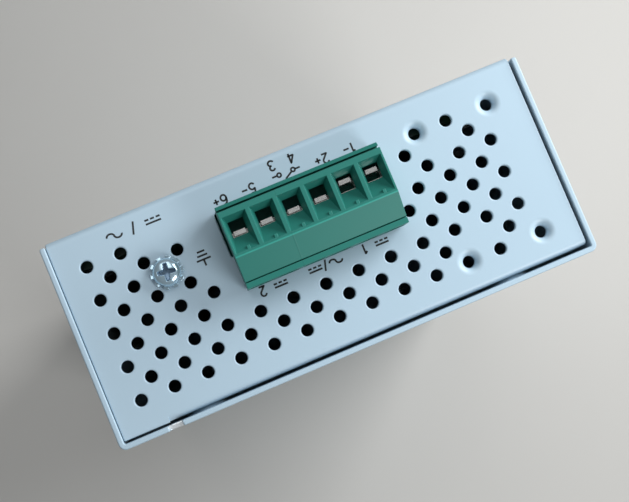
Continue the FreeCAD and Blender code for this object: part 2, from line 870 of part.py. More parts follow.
def make_plug():
    """Moulded plug: one section along its length, with a funnel, a clamp chamber and bores for each pole."""
    piece = Piece("terminal_plug")
    half = s.pole_pitch * (POLES / 2)
    low = top + s.plug_lift
    section = piece.sketch("section", "XZ_Plane", -(terminal_y + half))
    back = board_face - s.plug_back
    ledge = board_face + s.plug_ledge_front
    rim = board_face + s.plug_rim_back
    slope_end = board_face + s.plug_slope_end
    step = slope_end + s.plug_step_gap
    screw_face = board_face + s.plug_front
    polygon(section, [
        (back, low), (back, top + s.plug_ledge_edge), (ledge, top + s.plug_ledge_high),
        (ledge, top + s.plug_groove_floor), (rim, top + s.plug_groove_floor), (rim, top + s.plug_high),
        (board_face + s.plug_ridge, top + s.plug_high), (slope_end, top + s.plug_slope_high),
        (slope_end, top + s.plug_step_floor), (step, top + s.plug_step_floor), (step, top + s.plug_step_high),
        (screw_face, top + s.plug_front_high), (screw_face, low),
    ])
    piece.pad(section, half * 2)
    nose = piece.sketch("nose", "XY_Plane", low)
    rectangle(nose, (board_face + s.nose_back, board_face + s.nose_front),
              (terminal_y - s.nose_long / 2, terminal_y + s.nose_long / 2))
    pad = piece.pad(nose, s.plug_lift + s.nose_deep)
    pad.Reversed = True
    doc.recompute()
    funnel = piece.feature("SubtractiveWedge", "funnel")
    bind(funnel,
         Xmin=board_face + s.throat_back, Xmax=board_face + s.throat_front,
         X2min=board_face + s.mouth_back, X2max=board_face + s.mouth_front,
         Ymin=top + s.throat_high, Ymax=top + s.plug_high,
         Zmin=-s.throat_wide / 2, Zmax=s.throat_wide / 2,
         Z2min=-s.mouth_wide / 2, Z2max=s.mouth_wide / 2)
    place(funnel, 0, first_pole_y, 0, TURN["-Y"])
    doc.recompute()
    mouths = piece.feature("LinearPattern", "mouths")
    mouths.Originals = [funnel]
    mouths.Direction = (piece.plane("Y_Axis"), [""])
    bind(mouths, Length=s.pole_pitch * (POLES - 1))
    mouths.Occurrences = POLES
    piece.body.Tip = mouths
    doc.recompute()
    nubs = piece.sketch("nubs", "XY_Plane", top + s.nub_low)
    nub_x = board_face + s.nub_back
    for pole in range(1, POLES + 1):
        y = pole_y(pole) + s.nub_aside
        rectangle(nubs, (nub_x, nub_x + s.nub_long), (y - s.nub_wide / 2, y + s.nub_wide / 2))
    piece.pad(nubs, s.nub_high)
    chambers = piece.sketch("chambers", "XY_Plane", top + s.throat_high)
    slots = piece.sketch("contact_slots", "XY_Plane", top + s.cavity_low)
    necks = piece.sketch("necks", "YZ_Plane", board_face + s.clamp_head_seat)
    seats = piece.sketch("seats", "YZ_Plane", screw_face)
    bar_x = board_face + s.bar_back
    slot_half = s.bar_wide / 2 + s.cage_clear
    for pole in range(1, POLES + 1):
        y = pole_y(pole)
        rectangle(chambers, (board_face + s.cavity_back, board_face + s.cavity_front),
                  (y - s.cavity_wide / 2, y + s.cavity_wide / 2))
        rectangle(slots, (bar_x - s.cage_clear, bar_x + s.bar_thick + s.cage_clear),
                  (y - slot_half, y + slot_half))
        circle(necks, y, top + s.clamp_screw_high, s.screw_hole)
        circle(seats, y, top + s.clamp_screw_high, s.clamp_head_wide + s.clamp_head_clear * 2)
    piece.pocket(chambers, s.throat_high - s.cavity_low)
    piece.pocket(slots, s.cavity_low + s.nose_deep)
    piece.pocket(necks, s.clamp_head_seat - s.cavity_front)
    piece.pocket(seats, s.plug_front - s.clamp_head_seat)
    keep(piece.body)


def make_clamps():
    """Fork contacts, and for each pole the cage that its captive screw draws up to the contact bar."""
    bar_x = board_face + s.bar_back
    forks = []
    for pole in range(1, POLES + 1):
        y = pole_y(pole)
        blade = block(f"blade_{pole}", (bar_x, bar_x + s.bar_thick), (y - s.bar_wide / 2, y + s.bar_wide / 2),
                      (top - s.nose_deep + s.pin_thick, top + s.bar_high))
        half = s.pin_thick / 2 + s.pin_clear
        low = top - s.header_drop - s.header_deep + s.header_floor
        gap = block(f"fork_gap_{pole}", (bar_x, bar_x + s.bar_thick), (y - half, y + half),
                    (low, low + s.pin_reach + s.pin_clear))
        forks.append(cut(f"fork_{pole}", blade, [gap]))
    keep(group("plug_contacts", forks))
    for pole in range(1, POLES + 1):
        y = pole_y(pole)
        open_by = s.clamp_open if pole in OPEN_POLES else as_size(0)
        make_cage(pole, y, bar_x - s.jaw_gap - open_by, board_face + s.cavity_front - s.cage_clear - open_by)
        make_clamp_screw(pole, y, bar_x + s.bar_thick + s.jaw_gap)


def make_cage(pole, y, jaw_front, cage_front):
    """A clamp cage: a low sleeve with a threaded wall at the front and a jaw that stands up at the back."""
    low = top + s.cavity_low + s.cage_clear
    high = top + s.throat_high - s.cage_clear
    brim = top + s.sleeve_high
    half = s.cage_wide / 2
    wide = (y - half, y + half)
    jaw = (jaw_front - s.jaw_thick, jaw_front)
    wall = (cage_front - s.cage_nut_thick, cage_front)
    blank = fuse(f"cage_blank_{pole}", [
        block(f"sleeve_{pole}", (jaw[0], cage_front), wide, (low, brim)),
        block(f"nut_wall_{pole}", wall, wide, (low, high)),
        block(f"jaw_{pole}", jaw, (y - s.jaw_wide / 2, y + s.jaw_wide / 2), (low, high)),
    ])
    room = block(f"sleeve_room_{pole}", (jaw_front, wall[0]),
                 (y - half + s.cage_side, y + half - s.cage_side), (low, brim))
    thread = rod(f"sleeve_thread_{pole}", "+X", s.nut_bore, s.cage_nut_thick,
                 (wall[0], y, top + s.clamp_screw_high))
    keep(cut(f"clamp_cage_{pole}", blank, [room, thread]))


def make_clamp_screw(pole, y, tip):
    """A slotted clamp screw, captive behind its head's seat in the plug."""
    axis_z = top + s.clamp_screw_high
    seat = board_face + s.clamp_head_seat + s.pin_clear
    shank = rod(f"clamp_shank_{pole}", "+X", s.screw_shank, seat - tip, (tip, y, axis_z))
    head = rod(f"clamp_head_{pole}", "+X", s.clamp_head_wide, s.clamp_head_thick, (seat, y, axis_z))
    crown = seat + s.clamp_head_thick
    half = s.clamp_slot_wide / 2
    slot = block(f"clamp_slot_{pole}", (crown - s.clamp_slot_deep, crown), (y - half, y + half),
                 (axis_z - s.clamp_head_wide / 2, axis_z + s.clamp_head_wide / 2))
    keep(cut(f"terminal_screw_{pole}", fuse(f"clamp_blank_{pole}", [shank, head]), [slot]))


def make_board():
    """Circuit board with its mounting and pin holes, on standoffs from the tray's wall."""
    piece = Piece("main_board")
    outline = piece.sketch("outline", "YZ_Plane", board_back)
    rectangle(outline, (board_start, board_end), (board_low, board_high))
    for y, z in board_hole_spots:
        circle(outline, y, z, s.screw_hole)
    for pole in range(1, POLES + 1):
        circle(outline, pole_y(pole), pin_level, s.pin_hole)
    piece.pad(outline, s.board_thick)
    keep(piece.body)
    posts = []
    screws = []
    for number, (y, z) in enumerate(board_hole_spots):
        posts.append(hex_nut(f"standoff_{number}", "+X", s.standoff_wide, s.board_standoff,
                             (left + s.sheet, y, z)))
        screws.append(cheese_screw(f"board_screw_{number}", "-X", s.board_screw_long, (board_face, y, z)))
    keep(group("board_standoffs", posts))
    keep(group("board_screws", screws))


def make_jacks():
    """Sockets in a column at the board's front edge, with their shields and contact wires."""
    face = front - s.jack_proud
    back = face + s.jack_deep
    shields = []
    contacts = []
    for number, level in enumerate(jack_levels, start=1):
        high = board_face + s.jack_tall
        wide = (level - s.jack_wide / 2, level + s.jack_wide / 2)
        inner_wide = (wide[0] + s.shield_sheet, wide[1] - s.shield_sheet)
        shell = block(f"shell_{number}", (board_face, high), (face, back), wide)
        room = block(f"shell_room_{number}", (board_face, high - s.shield_sheet),
                     (face, back - s.shield_sheet), inner_wide)
        shields.append(cut(f"jack_shield_{number}", shell, [room]))
        insert = block(f"insert_{number}", (board_face, high - s.shield_sheet),
                       (face, back - s.shield_sheet), inner_wide)
        floor = board_face + s.socket_floor
        ceiling = floor + s.socket_high
        steps = ((floor, ceiling, s.socket_wide), (ceiling, ceiling + s.latch_high, s.latch_wide),
                 (ceiling + s.latch_high, ceiling + s.latch_high + s.catch_high, s.catch_wide))
        mouth = [block(f"socket_{number}_{index}", (low, up), (face, face + s.socket_deep),
                       (level - span / 2, level + span / 2))
                 for index, (low, up, span) in enumerate(steps)]
        keep(cut(f"rj45_jack_{number}", insert, mouth))
        for way in range(WAYS):
            centre = level + s.contact_pitch * (way - (WAYS - 1) / 2)
            wire = block(f"contact_{number}_{way}", (floor, floor + s.contact_thick),
                         (face, face + s.contact_long),
                         (centre - s.contact_wide / 2, centre + s.contact_wide / 2))
            place(wire, floor + s.contact_lift, face + s.contact_inset, centre - s.contact_wide / 2,
                  Rotation(Vector(0, 0, 1), -CONTACT_SLOPE))
            contacts.append(wire)
    keep(group("jack_shields", shields))
    keep(group("jack_contacts", contacts))


def make_lights():
    """Status lights in their holder at the board's front edge."""
    start = front + s.sheet + s.jack_clear
    holder = block("holder_blank", (board_face, board_face + s.holder_high), (start, start + s.holder_deep),
                   (light_levels[0] - s.holder_margin, light_levels[-1] + s.holder_margin))
    lights = []
    bores = []
    shoulder = front - s.light_proud + s.light_tip_long
    back = start + s.holder_deep
    for number, level in enumerate(light_levels):
        bores.append(rod(f"light_bore_{number}", "+Y", s.light_wide + s.light_clear, s.holder_deep,
                         (light_x, start, level)))
        stem = rod(f"light_stem_{number}", "-Y", s.light_wide, back - shoulder, (light_x, back, level))
        tip = cone(f"light_tip_{number}", "-Y", s.light_wide, s.light_tip_wide, s.light_tip_long,
                   (light_x, shoulder, level))
        lights.append(fuse(f"light_{number}", [stem, tip]))
    keep(cut("led_holder", holder, bores))
    keep(group("status_leds", lights))


def on_board(name, y, z, long_y, long_z, high):
    """A block that stands on the board, centred on a place, with its upright edges rounded."""
    base = block(name + "_block", (board_face, board_face + high),
                 (y - long_y / 2, y + long_y / 2), (z - long_z / 2, z + long_z / 2))
    return rounded(name, base, "X", s.part_round)


def make_board_parts():
    """What stands on the board: the switch chip with its heat sink, transformers, relay and supply parts."""
    chip_y = rear - s.chip_rear
    chip_z = s.chip_level
    keep(on_board("switch_chip", chip_y, chip_z, s.chip_wide, s.chip_wide, s.chip_thick))
    foot = board_face + s.chip_thick
    half = s.sink_wide / 2
    blank = block("sink_blank", (foot, foot + s.sink_high), (chip_y - half, chip_y + half),
                  (chip_z - half, chip_z + half))
    gap = (s.sink_wide - s.sink_fin * (SINK_SLOTS + 1)) / SINK_SLOTS
    slots = []
    for number in range(SINK_SLOTS):
        start = chip_y - half + s.sink_fin + (s.sink_fin + gap) * number
        slots.append(block(f"sink_slot_{number}", (foot + s.sink_base, foot + s.sink_high),
                           (start, start + gap), (chip_z - half, chip_z + half)))
    keep(cut("heat_sink", blank, slots))
    transformer_y = front - s.jack_proud + s.jack_deep + s.transformer_gap + s.transformer_deep / 2
    keep(group("line_transformers", [
        on_board(f"transformer_{number}", transformer_y, level, s.transformer_deep, s.transformer_wide,
                 s.transformer_high)
        for number, level in enumerate(jack_levels)]))
    keep(on_board("alarm_relay", rear - s.relay_rear, s.relay_level, s.relay_long, s.relay_wide,
                  s.relay_high))
    keep(on_board("power_inductor", rear - s.inductor_rear, s.inductor_level, s.inductor_wide,
                  s.inductor_wide, s.inductor_high))
    keep(group("bridge_rectifiers", [
        on_board(f"bridge_{number}", rear - s.bridge_rear, s.bridge_level + s.bridge_spacing * (number - 0.5),
                 s.bridge_long, s.bridge_wide, s.bridge_high)
        for number in range(2)]))
    keep(on_board("crystal", rear - s.crystal_rear, s.crystal_level, s.crystal_long, s.crystal_wide,
                  s.crystal_high))
    keep(group("filter_capacitors", [
        rod(f"capacitor_{number}", "+X", s.capacitor_wide, s.capacitor_high,
            (board_face, rear - s.capacitor_rear + s.capacitor_spacing * number, s.capacitor_level))
        for number in range(2)]))


def make_bracket():
    """Rail bracket: a plate folded into two hooks for a mounting rail, with its bowed wire spring."""
    piece = Piece("rail_bracket")
    thick = s.bracket_sheet
    rail_low = s.rail_level - s.rail_high / 2 - s.rail_clear
    rail_top = s.rail_level + s.rail_high / 2 + s.spring_room
    hook_in = bracket_face + s.rail_sheet + s.rail_clear
    hook_out = hook_in + thick
    profile = piece.sketch("profile", "YZ_Plane", -s.bracket_wide / 2)
    polygon(profile, [
        (rear, rail_low - thick), (hook_out, rail_low - thick), (hook_out, rail_low + s.bottom_hook),
        (hook_in, rail_low + s.bottom_hook), (hook_in, rail_low), (bracket_face, rail_low),
        (bracket_face, rail_top), (hook_in, rail_top), (hook_in, rail_top - s.top_hook),
        (hook_out, rail_top - s.top_hook), (hook_out, rail_top + thick), (rear, rail_top + thick),
    ])
    piece.pad(profile, s.bracket_wide)
    outside = [(y, z) for y in (rear, hook_out) for z in (rail_low - thick, rail_top + thick)]
    piece.fillet("X", outside, thick + s.bracket_bend)
    inside = [(y, z) for y in (bracket_face, hook_in) for z in (rail_low, rail_top)]
    piece.fillet("X", inside, s.bracket_bend)
    holes = piece.sketch("holes", "XZ_Plane", -rear)
    for x, z in bracket_spots:
        circle(holes, x, z, s.screw_hole)
    piece.pocket(holes, thick)
    for x, z in bracket_spots:
        piece.cone("Subtractive", "-Y", s.flat_head_wide, s.screw_hole, s.flat_head_deep,
                   (x, bracket_face, z))
    doc.recompute()
    keep(piece.body)
    screws = []
    nuts = []
    for number, (x, z) in enumerate(bracket_spots):
        screws.append(flat_screw(f"bracket_screw_{number}", "-Y", s.bracket_screw_long, (x, bracket_face, z)))
        nuts.append(hex_nut(f"bracket_nut_{number}", "-Y", s.nut_wide, s.nut_thick, (x, rear - s.sheet, z)))
    keep(group("bracket_screws", screws))
    keep(group("bracket_nuts", nuts))
    spring = doc.addObject("Part::Torus", "rail_spring")
    bind(spring, Radius1=s.spring_bow, Radius2=s.spring_wire / 2, Angle3=s.spring_sweep)
    middle = (bracket_face + hook_in) / 2
    low_point = s.rail_level + s.rail_high / 2 + s.spring_wire / 2 + s.rail_clear / 2
    lie = Rotation(Vector(1, 0, 0), 90).multiply(Rotation(Vector(0, 0, 1), -90 - float(s.spring_sweep) / 2))
    place(spring, 0, middle, low_point + s.spring_bow, lie)
    keep(spring)


def check_document():
    """Stop if any object failed or any sub-part is missing or not a valid shape."""
    doc.recompute()
    for item in doc.Objects:
        if "Invalid" in item.State or "Error" in item.State:
            raise RuntimeError(f"{item.Label} failed: {item.State}")
    for piece in nodes:
        if piece.Shape.isNull() or not piece.Shape.isValid() or not piece.Shape.Solids:
            raise RuntimeError(f"{piece.Label} has no valid shape")


def write_parts():
    """Write each sub-part to a file that has its name."""
    os.makedirs("parts", exist_ok=True)
    for piece in nodes:
        piece.Shape.exportStep(f"parts/{piece.Label}.step")
        print(piece.Label, len(piece.Shape.Solids), "solids", round(piece.Shape.Volume, 2), "mm3")


make_tray()
make_cover()
make_cover_screws()
make_earth_screw()
make_header()
make_plug()
make_clamps()
make_board()
make_jacks()
make_lights()
make_board_parts()
make_bracket()
check_document()
write_parts()
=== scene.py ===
"""Finishes, printed marks and stage for a network switch in a folded steel case.

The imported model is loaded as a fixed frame, in metres. The case's bottom centre is the origin, +Z is up to
the vented top with the terminal block, -Y is the front with the sockets and +X is the cover's side wall.
"""

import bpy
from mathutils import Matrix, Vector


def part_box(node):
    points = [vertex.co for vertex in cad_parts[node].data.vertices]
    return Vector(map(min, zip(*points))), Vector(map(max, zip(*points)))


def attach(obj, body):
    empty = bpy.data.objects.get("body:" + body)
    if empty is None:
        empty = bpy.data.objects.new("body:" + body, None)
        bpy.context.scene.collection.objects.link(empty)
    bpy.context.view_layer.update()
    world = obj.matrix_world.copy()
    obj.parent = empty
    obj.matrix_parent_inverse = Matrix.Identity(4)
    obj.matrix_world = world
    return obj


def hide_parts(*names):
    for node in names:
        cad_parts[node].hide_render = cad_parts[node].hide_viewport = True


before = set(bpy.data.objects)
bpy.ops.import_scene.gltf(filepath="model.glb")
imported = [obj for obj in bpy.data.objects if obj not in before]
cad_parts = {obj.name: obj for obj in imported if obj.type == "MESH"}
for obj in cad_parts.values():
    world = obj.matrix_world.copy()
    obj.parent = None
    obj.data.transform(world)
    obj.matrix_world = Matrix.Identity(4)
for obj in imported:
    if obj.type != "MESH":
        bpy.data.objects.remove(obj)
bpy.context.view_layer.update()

import bpy
import numpy as np
from bpy.props import FloatProperty, FloatVectorProperty, PointerProperty
from mathutils import Matrix, Vector

bl_info = {
    "name": "Network Switch Finishes",
    "version": (1, 0, 0),
    "blender": (4, 5, 0),
    "location": "3D View > Sidebar > Switch",
    "description": "Paint, plating, plastics, printed marks and a stage for a packed network switch",
    "category": "Object",
}

MM = 0.001
POLES = 6
JACKS = 5
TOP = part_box("chassis_tray")[1].z
# Where the tray's lips start, behind its front edge
LIP_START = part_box("chassis_tray")[0].y + 8.6 * MM
# The vent grid: its step, and the row and column that cross at the top's middle
GRID_STEP = 3.175 * MM
GRID_ROW_ZERO = 4.06
GRID_COLUMN_ZERO = 12.6
# The bare steel round the notch in the cover's upper edge: its middle, depth below the top and half width
BARE_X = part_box("cover")[1].x - 0.6 * MM
BARE_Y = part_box("cover")[0].y + 10.5 * MM
BARE_DEEP = 1.7 * MM
BARE_HALF = 0.7 * MM
# The plug's ridge, where a highlight is painted, from its back, and the grid column of its mould line
PLUG_RIDGE_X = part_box("terminal_plug")[0].x + 9.45 * MM
PLUG_SEAM_COLUMN = 11.1
# How far the ink goes into the paint and stands on it
INK_SUNK = 0.004 * MM
INK_PROUD = 0.012 * MM
# Packed points this close are one. Faces within the first angle are flat, and edges beyond the second sharp
WELD_REACH = 0.002 * MM
FLAT_ANGLE = 0.01
SHARP_ANGLE = 0.6
# Colours that no setting holds
# Painted shade, dark blue, laid in the cross recess of the earth screw
RECESS_PAINTED_SHADE = (0.02, 0.06, 0.15, 1.0)
SHIELD_BRIGHT = (0.70, 0.70, 0.68, 1.0)
# Painted shade, near black, on the socket shields deeper in the case
SHIELD_PAINTED_SHADE = (0.045, 0.045, 0.045, 1.0)
TRACK_MASK = (0.006, 0.050, 0.020, 1.0)
BARE_PAD = (0.62, 0.60, 0.56, 1.0)
THIN_INK = (0.20, 0.22, 0.24, 1.0)
CONTACT_TIN = (0.74, 0.72, 0.66, 1.0)
CONTACT_GILT = (0.86, 0.62, 0.24, 1.0)
INNER_ZINC = (0.15, 0.16, 0.17, 1.0)
BRACKET_ZINC = (0.66, 0.68, 0.70, 1.0)
SPRING_WIRE = (0.52, 0.52, 0.53, 1.0)
SOCKET_BLACK = (0.016, 0.017, 0.018, 1.0)
CHIP_EPOXY = (0.018, 0.018, 0.020, 1.0)
RELAY_CASE = (0.05, 0.06, 0.07, 1.0)
CAPACITOR_SLEEVE = (0.015, 0.016, 0.03, 1.0)
SINK_ALUMINIUM = (0.62, 0.62, 0.63, 1.0)
CRYSTAL_CAN = (0.70, 0.70, 0.70, 1.0)
LIGHT_COLOUR = (0.97, 0.99, 1.0)
SKY_COLOUR = (0.93, 0.97, 1.0, 1.0)
# The lights: each one's name, place from the top's middle, side and the setting that holds its power
LIGHTS = (
    ("key_light", (-0.07, 0.26, 0.13), 0.18, "key_power"),
    ("side_light", (0.20, 0.10, 0.16), 0.12, "side_power"),
    ("fill_light", (-0.16, 0.0, 0.22), 0.22, "fill_power"),
)
# Half the floor's side
FLOOR_HALF = 3.0
# The camera's place, and its directions to the right and backwards
CAMERA_PLACE = (0.00975, -0.0208, 0.3429)
CAMERA_RIGHT = (0.3877, 0.9192, 0.0685)
CAMERA_BACK = (0.0481, -0.0943, 0.9951)


def numbered(name, count):
    """Node names that end in a number, from 1."""
    return [f"{name}_{number}" for number in range(1, count + 1)]


# Shader maths


class Flow:
    """One output socket, with arithmetic that adds Math nodes to its own material."""

    def __init__(self, bench, output):
        self.bench = bench
        self.output = output

    def math(self, operation, first, second=0.0):
        """A Math node on one or two values."""
        return self.bench.make("ShaderNodeMath", {"operation": operation}, {0: first, 1: second})

    def __add__(self, other):
        return self.math("ADD", self, other)

    def __sub__(self, other):
        return self.math("SUBTRACT", self, other)

    def __rsub__(self, other):
        return self.math("SUBTRACT", other, self)

    def __mul__(self, other):
        return self.math("MULTIPLY", self, other)

    def __lt__(self, other):
        return self.math("LESS_THAN", self, other)

    def __gt__(self, other):
        return self.math("GREATER_THAN", self, other)

    def __abs__(self):
        return self.math("ABSOLUTE", self)

    __radd__ = __add__
    __rmul__ = __mul__


class Bench:
    """A material in the making: its node tree, its shader and the place of each point on the object."""

    def __init__(self, name):
        self.material = bpy.data.materials.new(name)
        self.material.use_nodes = True
        self.tree = self.material.node_tree
        self.shader = next(node for node in self.tree.nodes if node.type == "BSDF_PRINCIPLED")
        self.place = self.make("ShaderNodeTexCoord", output="Object")

    def make(self, kind, settings=None, inputs=None, output=0):
        """Add a node, set its settings, then feed its sockets with values or other sockets."""
        node = self.tree.nodes.new(kind)
        for name, value in (settings or {}).items():
            setattr(node, name, value)
        for key, value in (inputs or {}).items():
            self.feed(node.inputs[key], value)
        return Flow(self, node.outputs[output]) if node.outputs else None

    def feed(self, socket, value):
        """Link another socket to this one, or set its value."""
        if isinstance(value, Flow):
            self.tree.links.new(value.output, socket)
        else:
            socket.default_value = value

    def set(self, **inputs):
        """Feed the shader's own sockets, named with underscores for spaces."""
        for name, value in inputs.items():
            self.feed(self.shader.inputs[name.replace("_", " ")], value)

    def axis(self, name):
        """One coordinate of the place on the object, in metres."""
        return self.make("ShaderNodeSeparateXYZ", inputs={0: self.place}, output=name)

    def noise(self, size_mm, detail=2.0, roughness=0.5, stretch=(1.0, 1.0, 1.0)):
        """Noise from 0 to 1 with lumps of about the given size, drawn out along each axis."""
        scale = tuple(1 / drawn for drawn in stretch)
        place = self.make("ShaderNodeMapping", inputs={"Vector": self.place, "Scale": scale})
        return self.make("ShaderNodeTexNoise", inputs={
            "Vector": place, "Scale": 1 / (size_mm * MM), "Detail": detail, "Roughness": roughness})

    def cells(self, size_mm):
        """Distance to the nearest of points scattered about the given size apart."""
        return self.make("ShaderNodeTexVoronoi", inputs={
            "Vector": self.place, "Scale": 1 / (size_mm * MM)}, output="Distance")

    def ramp(self, factor, low, high):
        """A smooth step from 0 at the low value to 1 at the high one."""
        return self.make("ShaderNodeMapRange", {"interpolation_type": "SMOOTHSTEP"},
                         {"Value": factor, "From Min": low, "From Max": high})

    def mix(self, factor, first, second):
        """A colour between two colours."""
        return self.make("ShaderNodeMix", {"data_type": "RGBA"}, {0: factor, 6: first, 7: second}, 2)

    def shade(self, colour, factor):
        """A colour made darker or lighter by a factor around 1."""
        return self.make("ShaderNodeVectorMath", {"operation": "SCALE"}, {
            0: colour[:3], "Scale": factor})

    def bump(self, height, depth_mm, strength=1.0):
        """A normal from a height between 0 and 1 that stands for a real depth."""
        return self.make("ShaderNodeBump", inputs={
            "Strength": strength, "Distance": depth_mm * MM, "Height": height})


def colour(prop):
    """A colour property as four numbers."""
    return (*prop[:3], 1.0)


def make_case_paint(finish):
    """Satin paint on sheet steel: orange peel, faint clouds, fine flecks and bare steel at the notch."""
    bench = Bench("satin_case_paint")
    cloud = bench.noise(38.0, 3.0)
    peel = bench.noise(0.55, 2.0)
    fleck = bench.noise(0.16, 1.0)
    tone = 0.955 + cloud * 0.06 + fleck * 0.03
    paint = bench.shade(colour(finish.case_colour), tone)
    across = abs(bench.axis("X") - BARE_X)
    along = abs(bench.axis("Y") - BARE_Y)
    near_notch = (bench.axis("Z") > TOP - BARE_DEEP) * (across < BARE_HALF)
    scuff = bench.noise(0.5, 3.0)
    reach = along + across * 0.6 + scuff * (1.2 * MM)
    bare = (1 - bench.ramp(reach, 1.75 * MM, 2.1 * MM)) * near_notch
    bench.set(
        Base_Color=bench.mix(bare, paint, colour(finish.bare_steel_colour)),
        Metallic=bare * 0.35,
        Roughness=finish.case_roughness - 0.05 + cloud * 0.06 + fleck * 0.06 - bare * 0.18,
        Normal=bench.bump(peel * 0.8 + fleck * 0.2, 0.012, 0.35),
    )
    return bench.material


def make_moulded(name, base, roughness, seam_y=None, ridge=None):
    """Moulded plastic: fine eroded grain and slow colour flow, and a mould line and a painted highlight on a
    ridge if asked.

    The mould line is given by its place along Y, and the ridge by its place along X and its level.
    """
    bench = Bench(name)
    grain = bench.noise(0.14, 3.0, 0.6)
    flow = bench.noise(4.0, 3.0, 0.5, (1.0, 3.0, 1.0))
    height = grain * 0.5
    tone = 0.93 + flow * 0.10 + grain * 0.05
    if seam_y is not None:
        seam = 1 - bench.ramp(abs(bench.axis("Y") - seam_y), 0.03 * MM, 0.16 * MM)
        height = height + seam * 1.5
        tone = tone - seam * 0.10
    if ridge is not None:
        ridge_x, level = ridge
        # Painted highlight: a lighter line along the ridge, on its upper part
        ridge_highlight = 1 - bench.ramp(abs(bench.axis("X") - ridge_x), 0.05 * MM, 0.20 * MM)
        tone = tone + ridge_highlight * (bench.axis("Z") > level - 0.3 * MM) * 0.75
    bench.set(
        Base_Color=bench.shade(base, tone),
        Specular_IOR_Level=0.32,
        Roughness=roughness - 0.04 + grain * 0.10 + flow * 0.04,
        Normal=bench.bump(height, 0.012, 0.45),
    )
    return bench.material


def make_plated(
        name, base, roughness, stretch=(1.0, 1.0, 1.0), scratch_mm=0.25, metallic=1.0, sunk=None):
    """Plated metal: a drawn grain, a slow tarnish, and a painted shade if the name of an attribute is given
    as sunk.

    The painted shade, dark blue, lies where that attribute is high.
    """
    bench = Bench(name)
    grain = bench.noise(scratch_mm, 3.0, 0.6, stretch)
    tarnish = bench.noise(3.0, 3.0)
    plate = bench.shade(base, 0.90 + tarnish * 0.14)
    sheen = roughness - 0.05 + grain * 0.08 + tarnish * 0.06
    if sunk:
        # Painted shade in the recess: dark blue and a little rougher, deeper into the cross recess
        depth = bench.make("ShaderNodeAttribute", {"attribute_name": sunk}, output="Fac")
        recess_shade = bench.ramp(depth, 0.3, 1.0)
        plate = bench.mix(recess_shade * 0.72, plate, RECESS_PAINTED_SHADE)
        sheen = sheen + recess_shade * 0.1
    bench.set(
        Base_Color=plate,
        Metallic=metallic,
        Roughness=sheen,
        Normal=bench.bump(grain, 0.004, 0.4),
    )
    return bench.material


def make_shield_tin():
    """Tin plate of the socket shields: bright at the openings, with a near black painted shade further into
    the case.
    """
    bench = Bench("shield_tin")
    grain = bench.noise(0.25, 3.0, 0.6, (1.0, 1.0, 5.0))
    tarnish = bench.noise(3.0, 3.0)
    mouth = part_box("jack_shields")[0].y
    # Painted shade: from 1 to 5 mm behind the openings the tin turns near black, matt and not metallic
    inside = bench.ramp(bench.axis("Y") + tarnish * MM, mouth + 1.0 * MM, mouth + 5.0 * MM)
    bench.set(
        Base_Color=bench.mix(inside, SHIELD_BRIGHT, SHIELD_PAINTED_SHADE),
        Metallic=1 - inside,
        Roughness=0.26 + grain * 0.08 + inside * 0.4,
        Normal=bench.bump(grain, 0.004, 0.4),
    )
    return bench.material


def make_board_laminate(finish):
    """Green solder mask over copper: tracks, a scatter of bare pads and the weave, but plain cut edges."""
    bench = Bench("board_laminate")
    low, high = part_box("main_board")
    flat = abs(bench.axis("X") - (low.x + high.x) / 2) > (high.x - low.x) / 2 - 0.01 * MM
    tracks = bench.make("ShaderNodeTexWave", {"bands_direction": "Z"}, {
        "Vector": bench.place, "Scale": 180.0, "Distortion": 9.0, "Detail": 2.0, "Detail Scale": 0.6})
    copper = bench.ramp(tracks, 0.55, 0.62) * flat
    pad = (1 - bench.ramp(bench.cells(2.6), 0.16, 0.20)) * flat
    weave = bench.noise(0.5, 1.0)
    mask = bench.mix(copper, colour(finish.board_colour), TRACK_MASK)
    bench.set(
        Base_Color=bench.mix(pad, mask, BARE_PAD),
        Metallic=pad,
        Roughness=0.34 + weave * 0.1,
        Normal=bench.bump(copper * 0.7 + weave * 0.3, 0.03, 0.5),
    )
    return bench.material


def make_lens(finish):
    """Tinted cast resin of the lights: clear gloss with a slow change of tint."""
    bench = Bench("light_lens")
    swirl = bench.noise(1.2, 2.0)
    bench.set(
        Base_Color=bench.shade(colour(finish.lens_colour), 0.85 + swirl * 0.3),
        Roughness=0.10 + swirl * 0.06,
        Coat_Weight=0.6,
        Normal=bench.bump(swirl, 0.01, 0.2),
    )
    return bench.material


def make_ink(printing):
    """Screen printed ink: matt, nearly black, thinner in fine pinholes."""
    bench = Bench("printed_ink")
    pinhole = bench.noise(0.09, 2.0)
    cover = bench.ramp(pinhole, 0.22, 0.34)
    bench.set(
        Base_Color=bench.mix(cover, THIN_INK, colour(printing.ink_colour)),
        Roughness=0.55 + pinhole * 0.15,
        Normal=bench.bump(pinhole, 0.004, 0.3),
    )
    return bench.material


def make_floor_material(stage):
    """Plain pale floor with a barely seen mottle."""
    bench = Bench("pale_floor")
    mottle = bench.noise(30.0, 4.0)
    bench.set(
        Base_Color=bench.shade(colour(stage.floor_colour), 0.985 + mottle * 0.03),
        Roughness=0.75 + mottle * 0.1,
    )
    return bench.material


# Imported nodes


def finish_nodes(names, material):
    """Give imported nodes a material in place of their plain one."""
    for name in names:
        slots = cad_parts[name].data.materials
        slots.clear()
        slots.append(material)


class EdgeBench(Bench):
    """A geometry node tree that passes a mesh on, with arithmetic on its fields."""

    def __init__(self, name):
        self.tree = bpy.data.node_groups.new(name, "GeometryNodeTree")
        self.tree.interface.new_socket("Mesh", in_out="INPUT", socket_type="NodeSocketGeometry")
        self.tree.interface.new_socket("Mesh", in_out="OUTPUT", socket_type="NodeSocketGeometry")
        self.mesh = self.make("NodeGroupInput")
        self.place = self.make("GeometryNodeInputPosition")

    def give(self, mesh):
        """Pass a mesh on as the tree's result."""
        self.make("NodeGroupOutput", inputs={0: mesh})


